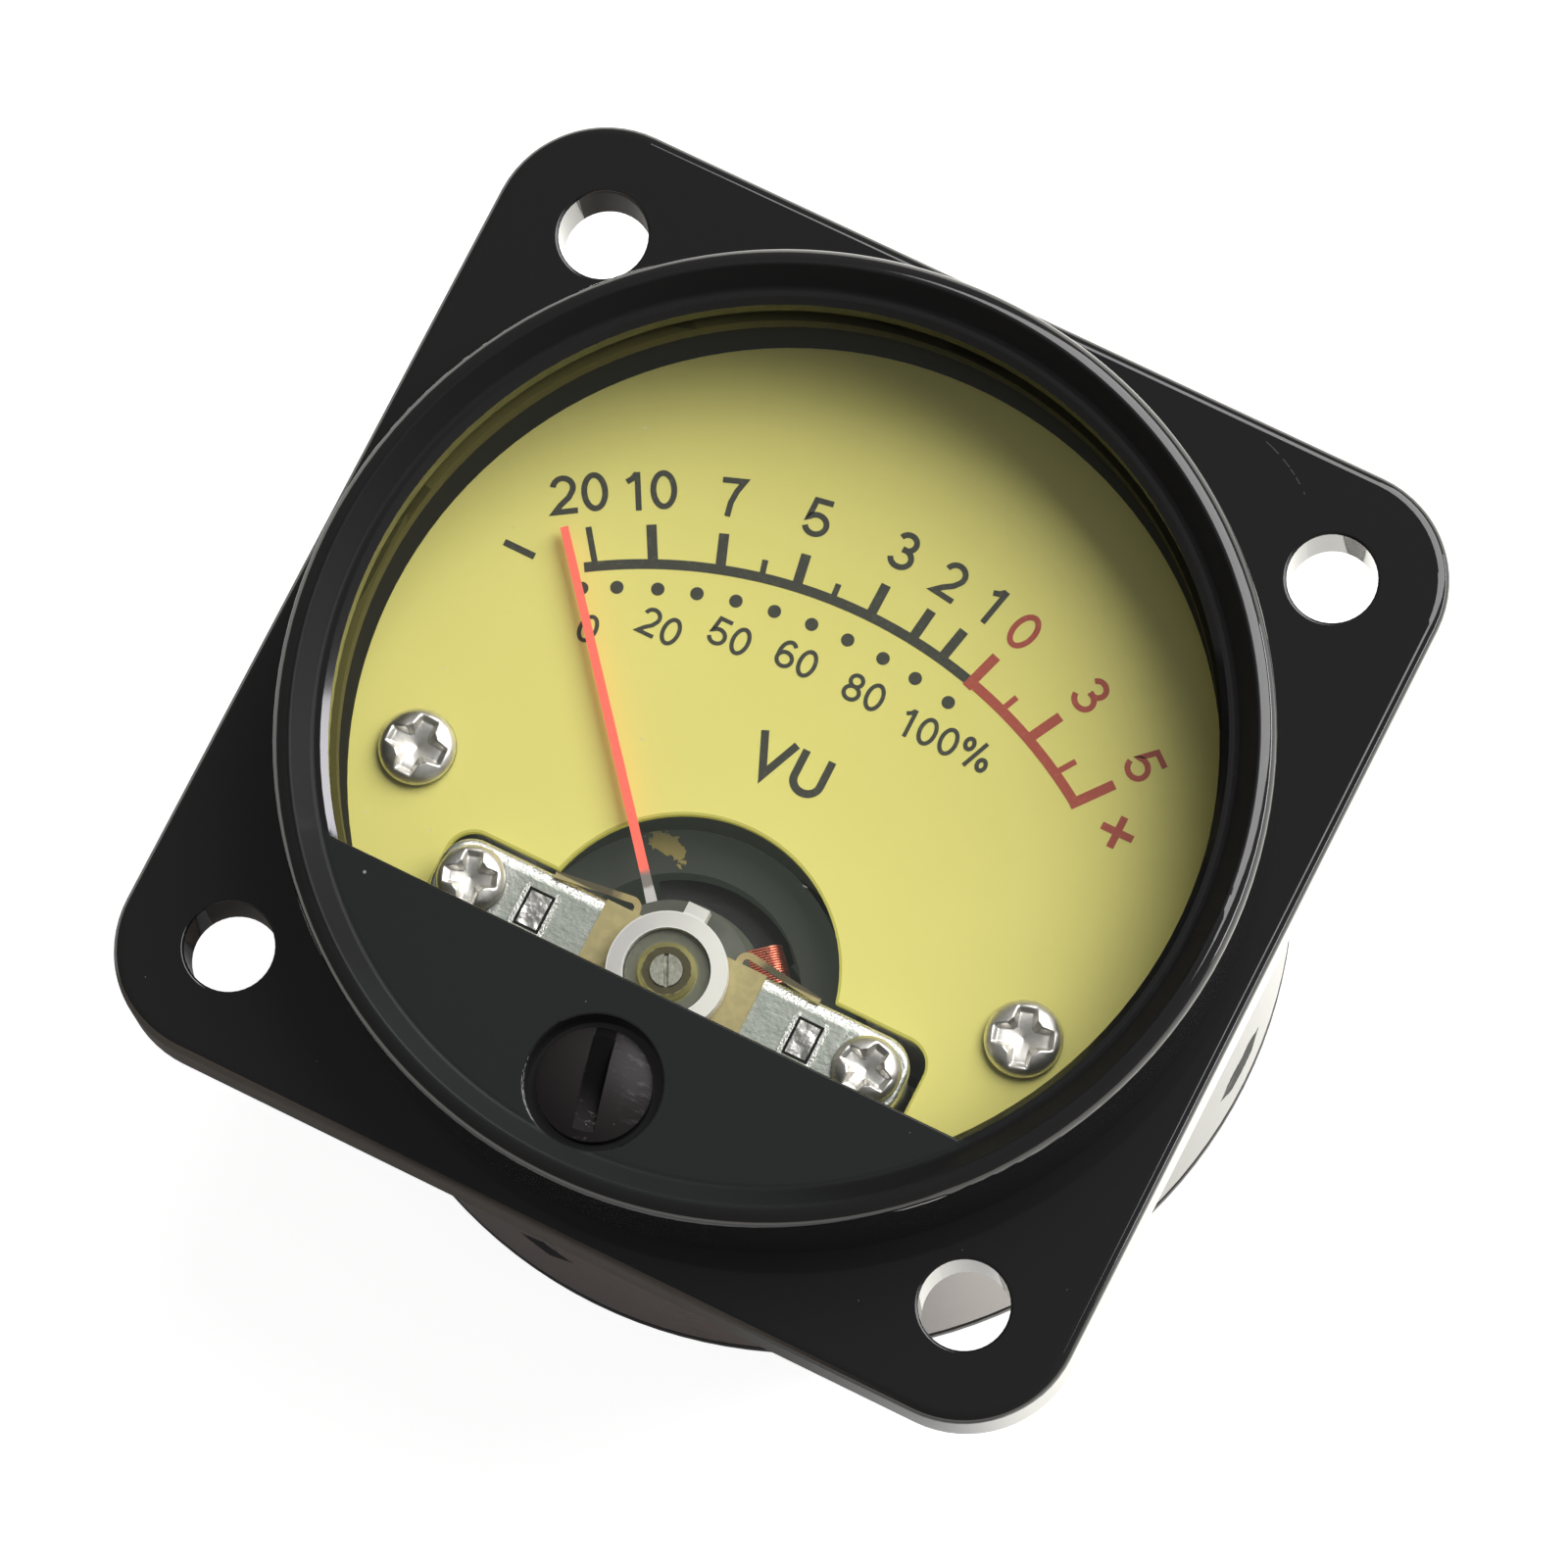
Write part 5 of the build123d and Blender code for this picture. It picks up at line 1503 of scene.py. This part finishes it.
    def lettering(self, name: str, labels: Sequence[Label], arc: Tuple[float, float], look: Look) -> None:
        """Draws the figures and the part of the arc that are in one ink.

        Args:
            name: the piece's name.
            labels: the figures.
            arc: the arc's first and last angle, from dial-up.
            look: the ink.
        """
        level = DIAL_TOP + PRINT_LIFT
        shape = bmesh.new()
        for label in labels:
            for layer, line in enumerate(label.lines()):
                Piece.ribbon(shape, line, label.stroke, level + layer * LAYER_LIFT)
        reach = (self.arc_radius, self.arc_radius)
        start, end = self.arc_angle(arc[1]), self.arc_angle(arc[0])
        bend = Piece.bow(self.arc_centre, reach, start, end, self.arc_steps)
        Piece.ribbon(shape, (False, bend), self.arc_width, level)
        bmesh.ops.recalc_face_normals(shape, faces=shape.faces)
        for face in shape.faces:
            face.normal_update()
        bmesh.ops.reverse_faces(shape, faces=[face for face in shape.faces if face.normal.z < 0.0])
        mesh = Piece.to_mesh(name, shape)
        mesh.materials.append(look.value.build())
        made = Piece.add(name, mesh)
        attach(made, "housing")
        log.info("%s: %d labels", name, len(labels))

    def build(self) -> None:
        """Prints the whole scale."""
        self.ticks("dark_ticks", self.dark_ticks, Look.DARK_INK)
        self.ticks("red_ticks", self.red_ticks, Look.RED_INK)
        self.dots()
        self.lettering("dark_lettering", self.dark_labels, (self.arc_start, self.arc_change), Look.DARK_INK)
        self.lettering("red_lettering", self.red_labels, (self.arc_change, self.arc_end), Look.RED_INK)


# Screws

@dataclass
class CrossHead:
    """A small pan-head screw with a cross recess, modelled as one closed shell."""

    head_radius: float
    shank_length: float
    head_height: float = 0.95
    shank_radius: float = 0.8
    seat_share: float = 0.92
    edge_share: float = 0.25
    crown_drop: float = 0.30
    wing_reach: float = 0.80
    wing_width: float = 0.60
    wing_flare: Point = (1.34, 0.52)
    flank_slope: float = 1.7
    end_slope: float = 1.2
    throat: float = 1.85
    recess_depth: float = 0.66
    recess_rise: float = 0.62
    worn_edge: float = 0.05
    crowded_from: float = 0.8
    rings: int = 44
    spokes: int = 144

    def dome(self, radius: float) -> float:
        """The pan head's height at a radius, over its seat."""
        share = min(1.0, radius / self.head_radius)
        crown = 1.0 - self.crown_drop * share ** 2
        shoulder = math.sqrt(max(0.0, 1.0 - share ** 5))
        return self.head_height * (self.edge_share + (1.0 - self.edge_share) * crown * shoulder)

    def recess(self, x: float, y: float) -> float:
        """How deep the cross recess is at a place.

        Args:
            x: across, from the screw's middle.
            y: up, from the screw's middle.

        Returns:
            The depth, nought outside it.
        """
        half = self.wing_width * self.head_radius * 0.5
        reach = self.wing_reach * self.head_radius
        radius = math.hypot(x, y)
        risen = self.recess_rise * min(1.0, radius / reach)
        floor = self.recess_depth * self.head_height * (1.0 - risen)
        deepest = max(0.0, min(floor, (half * self.throat - radius) * self.end_slope))
        root, narrowing = self.wing_flare
        for along, aside in ((abs(x), abs(y)), (abs(y), abs(x))):
            flank = (half * (root - narrowing * along / reach) - aside) * self.flank_slope
            end = (reach - along) * self.end_slope
            deepest = max(deepest, min(flank, end, floor))
        return deepest * deepest / (deepest + self.worn_edge)

    def ring(self, shape: bmesh.types.BMesh, radius: float, height: Optional[float] = None) -> List[Any]:
        """Adds one ring of points.

        Args:
            shape: the mesh that gets it.
            radius: the ring's radius.
            height: its level, or nothing for the head's own surface.

        Returns:
            The points in order.
        """
        made = []
        for spoke in range(self.spokes):
            angle = 2.0 * math.pi * spoke / self.spokes
            x, y = radius * math.cos(angle), radius * math.sin(angle)
            level = self.dome(radius) - self.recess(x, y) if height is None else height
            made.append(shape.verts.new((x, y, level)))
        return made

    def mesh(self, name: str) -> bpy.types.Mesh:
        """Makes the screw with its seat at the origin.

        Args:
            name: the mesh's name.

        Returns:
            The mesh, in metres.
        """
        shape = bmesh.new()
        top = shape.verts.new((0.0, 0.0, self.dome(0.0) - self.recess(0.0, 0.0)))
        loops: List[List[Any]] = []
        for ring in range(1, self.rings + 1):
            share = ring / self.rings
            if share >= self.crowded_from:
                share = 1.0 - (1.0 - share) ** 2 / (1.0 - self.crowded_from)
            loops.append(self.ring(shape, self.head_radius * share))
        loops.append(self.ring(shape, self.head_radius * self.seat_share, 0.0))
        loops.append(self.ring(shape, self.shank_radius, 0.0))
        loops.append(self.ring(shape, self.shank_radius, -self.shank_length))
        for spoke in range(self.spokes):
            on = (spoke + 1) % self.spokes
            shape.faces.new((top, loops[0][spoke], loops[0][on]))
            for inner, outer in zip(loops, loops[1:]):
                shape.faces.new((inner[spoke], outer[spoke], outer[on], inner[on]))
        shape.faces.new(list(reversed(loops[-1])))
        bmesh.ops.recalc_face_normals(shape, faces=shape.faces)
        return Piece.to_mesh(name, shape, True)


@dataclass
class ScrewSet:
    """Screws of one kind, laid out by a tree and standing for one CAD node."""

    node: str
    head: CrossHead
    seats: Sequence[Tuple[float, float, float]]
    turns: Sequence[float]
    looks_down: bool = False

    def build(self) -> None:
        """Lays the screws, one on each seat, and hides the node that they stand for."""
        pattern = Piece.add(self.node + "_pattern", self.head.mesh(self.node + "_head"))
        tree = PieceTree("screw_row", [("Screw", "NodeSocketObject")])
        screw = tree.node("GeometryNodeObjectInfo", None, {"Object": tree.given["Screw"]})
        flip = math.pi if self.looks_down else 0.0
        turn = tree.vector(flip, 0.0, tree.attribute("turn"))
        tree.end(tree.copies(tree.given["Geometry"], screw.outputs["Geometry"], Rotation=turn))
        values = {"turn": [math.radians(turn) for turn in self.turns]}
        start = point_mesh(self.node + "_seats", self.seats, values)
        made = tree.run("cross_" + self.node, start, Look.SCREW, {"Screw": pattern})
        bpy.data.objects.remove(pattern)
        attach(made, "housing")
        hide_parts(self.node)
        log.info("cross_%s: %d screws", self.node, len(self.seats))


# The moving coil

@dataclass
class CoilWinding:
    """The moving coil's turns of copper wire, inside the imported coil's own room."""

    node: str = "moving_coil"
    plane: float = 39.9
    half_width: float = 4.95
    half_depth: float = 0.85
    inset: float = 0.0235
    low: float = -8.6
    high: float = 1.0
    corner: float = 0.6
    wire: float = 0.055
    wire_sides: int = 7
    corner_steps: int = 5
    rows: int = 15
    layers: int = 3

    def loop(self) -> bpy.types.Mesh:
        """One turn's line, round its rounded corners, in the coil's own plane.

        Returns:
            The line as a mesh of edges, in metres.
        """
        reach, top = self.half_width - self.wire, self.high - self.wire
        bottom = self.low + self.wire
        bend = self.corner - self.wire
        points: List[Point] = []
        for x, y, start in (
            (reach - bend, top - bend, 0.0), (-reach + bend, top - bend, 90.0),
            (-reach + bend, bottom + bend, 180.0), (reach - bend, bottom + bend, 270.0),
        ):
            points += Piece.bow((x, y), (bend, bend), start, start + 90.0, self.corner_steps)
        mesh = bpy.data.meshes.new("coil_turn")
        edges = [(index, (index + 1) % len(points)) for index in range(len(points))]
        mesh.from_pydata([(x * MM, 0.0, y * MM) for x, y in points], edges, [])
        return mesh

    def tree(self) -> PieceTree:
        """The tree that sweeps the wire along the turn and repeats it across and inwards."""
        labels = ("Wire", "Step", "Inset", "Middle", "Turn", "Across", "Up")
        tree = PieceTree("coil_turns", [
            *((label, "NodeSocketFloat") for label in labels),
            ("Rows", "NodeSocketInt"), ("Layers", "NodeSocketInt"),
        ])
        given = tree.given
        path = tree.node("GeometryNodeMeshToCurve", None, {"Mesh": given["Geometry"]}).outputs[0]
        inputs = {"Resolution": self.wire_sides, "Radius": given["Wire"]}
        section = tree.node("GeometryNodeCurvePrimitiveCircle", None, inputs)
        inputs = {"Curve": path, "Profile Curve": section.outputs[0]}
        turn = tree.node("GeometryNodeCurveToMesh", None, inputs).outputs[0]
        inputs = {"Count": given["Rows"], "Offset": tree.vector(0.0, given["Step"], 0.0)}
        row = tree.node("GeometryNodeMeshLine", {"mode": "OFFSET"}, inputs)
        layer = tree.copies(row.outputs[0], turn)
        inputs = {"Count": given["Layers"], "Offset": (0.0, 0.0, 0.0)}
        column = tree.node("GeometryNodeMeshLine", {"mode": "OFFSET"}, inputs)
        index = tree.node("GeometryNodeInputIndex").outputs[0]
        inputs = {0: index, 1: given["Inset"]}
        inset = tree.node("ShaderNodeMath", {"operation": "MULTIPLY"}, inputs).outputs[0]
        size = tree.node("ShaderNodeMath", {"operation": "SUBTRACT"}, {0: 1.0, 1: inset}).outputs[0]
        stack = tree.copies(column.outputs[0], layer, Scale=tree.vector(size, 1.0, size))
        real = tree.node("GeometryNodeRealizeInstances", None, {"Geometry": stack}).outputs[0]
        inputs = {
            "Geometry": real, "Rotation": tree.vector(0.0, 0.0, given["Turn"]),
            "Translation": tree.vector(given["Across"], given["Up"], given["Middle"]),
        }
        tree.end(tree.node("GeometryNodeTransform", None, inputs).outputs[0])
        return tree

    def build(self) -> None:
        """Winds the coil and hides the node that it stands for."""
        middle = 0.5 * (self.low + self.high)
        turn = self.loop()
        for vertex in turn.vertices:
            vertex.co.z -= middle * MM
        first = self.half_depth - self.wire
        step = 2.0 * first / (self.rows - 1)
        lean = math.radians(self.plane)
        values = {
            "Wire": self.wire * MM, "Step": step * MM, "Inset": self.inset, "Middle": middle * MM,
            "Turn": lean, "Across": (PIVOT[0] + first * math.sin(lean)) * MM,
            "Up": (PIVOT[1] - first * math.cos(lean)) * MM, "Rows": self.rows, "Layers": self.layers,
        }
        made = self.tree().run("coil_winding", turn, Look.COPPER, values)
        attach(made, "movement")
        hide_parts(self.node)
        log.info("coil_winding: %d turns", self.rows * self.layers)


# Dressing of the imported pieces

@dataclass
class Dressing:
    """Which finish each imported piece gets."""

    looks: Dict[str, Look] = field(default_factory=lambda: {
        "front_shell": Look.HOUSING, "window_lens": Look.WINDOW, "rear_can": Look.CAN,
        "back_cover": Look.COVER, "coil_terminals": Look.TINNED, "lamp_terminals": Look.TINNED,
        "spacer_ring": Look.SPACER, "dial_plate": Look.DIAL, "dial_screws": Look.SCREW,
        "bridge_bar": Look.BRIDGE, "bridge_screws": Look.SCREW, "bridge_posts": Look.POST,
        "spring_clip": Look.CLIP, "bridge_bush": Look.BUSH, "upper_jewel_screw": Look.JEWEL_SCREW,
        "upper_jewel_nut": Look.NUT, "insulating_washer": Look.WASHER, "core_magnet": Look.MAGNET,
        "core_spacers": Look.BLACK_HOLDER, "yoke_ring": Look.YOKE, "movement_frame": Look.ALUMINIUM,
        "lower_jewel_screw": Look.BRASS, "lower_jewel_nut": Look.BRASS, "light_box": Look.LIGHT_BOX,
        "lamp_bulbs": Look.LAMP, "lamp_holders": Look.BLACK_HOLDER, "terminal_board": Look.BOARD,
        "board_screws": Look.SCREW, "pointer_hub": Look.ALUMINIUM, "balance_weights": Look.BRASS,
        "moving_coil": Look.COPPER, "coil_former": Look.ALUMINIUM, "upper_pivot": Look.STEEL,
        "lower_pivot": Look.STEEL, "pointer": Look.POINTER, "upper_hairspring": Look.BRONZE,
        "lower_hairspring": Look.BRONZE,
        "zero_screw": Look.ZERO_SCREW, "zero_screw_clip": Look.NICKEL, "zero_lever": Look.LEVER,
    })

    def build(self) -> None:
        """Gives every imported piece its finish."""
        for name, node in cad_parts.items():
            finish = self.looks[name].value
            material = finish.build()
            if not node.material_slots:
                node.data.materials.append(material)
            for place in node.material_slots:
                place.material = material
            log.info("%s: %s", name, finish.name)


# Floor, light and camera

@dataclass(frozen=True)
class SoftBox:
    """A soft lamp that looks at the object: its way and distance, width and height, watts, colour."""

    name: str
    direction: Tuple[float, float, float]
    distance: float
    size: Point
    power: float
    colour: Colour = WHITE

    def build(self) -> None:
        """Hangs the lamp."""
        data = bpy.data.lights.new(self.name, "AREA")
        data.shape = "RECTANGLE"
        data.size, data.size_y = self.size[0] * MM, self.size[1] * MM
        data.energy = self.power
        data.color = self.colour
        made = Piece.add(self.name, data)
        way = Vector(self.direction).normalized()
        made.rotation_mode = "QUATERNION"
        made.rotation_quaternion = way.to_track_quat("Z", "Y")
        made.location = way * self.distance * MM


@dataclass
class Studio:
    """A pale floor, a soft key from the upper right, a low strip at the right and the camera."""

    floor_level: float = -24.85
    floor_half: float = 1500.0
    paper: Colour = (0.62, 0.62, 0.61)
    mirrored_tint: Colour = (1.0, 0.975, 0.88)
    paper_glow: float = 0.88
    lit_way: Point = (0.65, 0.75)
    lit_span: Point = (-12.0, 2.0)
    shadow_reach: Point = (70.0, 120.0)
    overcast: float = 0.175
    low_light: float = 0.06
    low_way: Point = (0.75, 0.66)
    low_span: Point = (0.85, 0.10)
    high_tint: Colour = (0.95, 0.96, 0.98)
    low_tint: Colour = (1.0, 0.97, 0.92)
    boxes: Tuple[SoftBox, ...] = (
        SoftBox("key_box", (0.43, 0.91, 1.0), 900.0, (850.0, 850.0), 11.1),
        SoftBox("side_strip", (0.86, 0.50, 0.09), 1100.0, (900.0, 120.0), 3.4, (0.97, 0.95, 1.0)),
    )
    eye: Tuple[float, float, float] = (65.93, -73.71, 400.74)
    eye_across: Tuple[float, float, float] = (0.89023, 0.45104, -0.06367)
    eye_up: Tuple[float, float, float] = (-0.42663, 0.87458, 0.23044)
    eye_back: Tuple[float, float, float] = (0.15962, -0.17798, 0.97100)
    lens: float = 221.12
    sensor: float = 36.0
    clip: Point = (0.02, 20.0)

    def camera(self) -> None:
        """Places the camera at the photograph's angle."""
        made = bpy.data.cameras.new("camera")
        made.lens = self.lens
        made.sensor_width = self.sensor
        made.sensor_fit = "HORIZONTAL"
        made.clip_start, made.clip_end = self.clip
        eye = Piece.add("camera", made)
        turn = Matrix((self.eye_across, self.eye_up, self.eye_back)).transposed()
        eye.matrix_world = Matrix.Translation([part * MM for part in self.eye]) @ turn.to_4x4()
        bpy.context.scene.camera = eye

    def floor(self) -> None:
        """Lays a floor that is white to the eye, and in reflections but for the shadowed side."""
        shape = bmesh.new()
        half = self.floor_half
        corners = ((-half, -half), (half, -half), (half, half), (-half, half))
        shape.faces.new([shape.verts.new((x, y, self.floor_level)) for x, y in corners])
        mesh = Piece.to_mesh("floor", shape)
        material = bpy.data.materials.new("floor_sweep")
        graph = ShaderGraph.emptied(material)
        place = graph.place()
        lit_side = place.along(self.lit_way).rise(*self.lit_span)
        lit_side = lit_side.most(place.length().rise(*self.shadow_reach))
        mirrored = graph.ray("Glossy") * lit_side
        seen = graph.ray("Camera").most(mirrored).most(graph.ray("Transmission"))
        paper = graph.node("ShaderNodeBsdfDiffuse", None, {"Color": self.paper})
        tint = graph.blend(mirrored, WHITE, self.mirrored_tint)
        inputs = {"Color": tint, "Strength": seen * self.paper_glow}
        white = graph.node("ShaderNodeEmission", None, inputs)
        both = graph.node("ShaderNodeAddShader", None, {0: paper.outputs[0], 1: white.outputs[0]})
        graph.node("ShaderNodeOutputMaterial", None, {"Surface": both.outputs[0]})
        mesh.materials.append(material)
        Piece.add("floor", mesh)

    def world(self) -> None:
        """Sets the surroundings: white to the eye, dim in the light, palest low at the right."""
        world = bpy.data.worlds.new("studio")
        bpy.context.scene.world = world
        graph = ShaderGraph.emptied(world)
        way = Arrow(graph, graph.node("ShaderNodeTexCoord").outputs["Generated"])
        side = way.along(self.low_way).rise(-1.0, 1.0)
        low = way.parts()[2].rise(*self.low_span)
        seen = graph.ray("Camera").most(graph.ray("Transmission"))
        strength = (self.overcast + low * side * self.low_light).most(seen)
        shade = graph.blend(low, self.high_tint, self.low_tint)
        shade = graph.blend(seen, shade, WHITE)
        light = graph.node("ShaderNodeBackground", None, {"Color": shade, "Strength": strength})
        graph.node("ShaderNodeOutputWorld", None, {"Surface": light.outputs[0]})

    def build(self) -> None:
        """Sets up the whole stage."""
        bpy.context.scene.view_settings.view_transform = "Standard"
        self.camera()
        self.floor()
        self.world()
        for box in self.boxes:
            box.build()
        log.info("studio: floor, world, lamps and camera")


def make_screws() -> List[ScrewSet]:
    """The three kinds of screw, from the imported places."""
    rows = (
        ("dial_screws", 1.7, 4.5, (14.5, -6.05, DIAL_TOP), (0.0, 17.0), False),
        ("bridge_screws", 1.5, 5.0, (9.4, -10.5, 3.6), (18.0, -14.0), False),
        ("board_screws", 1.5, 4.0, (9.4, -10.5, -17.0), (31.0, 55.0), True),
    )
    return [
        ScrewSet(name, CrossHead(radius, length), ((-x, y, z), (x, y, z)), turns, looks_down)
        for name, radius, length, (x, y, z), turns, looks_down in rows
    ]


def main() -> None:
    """Builds the scene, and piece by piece."""
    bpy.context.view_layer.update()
    Studio().build()
    Dressing().build()
    DialPrint().build()
    for screws in make_screws():
        screws.build()
    CoilWinding().build()
    log.info("boxes written")


if __name__ == "__main__":
    main()
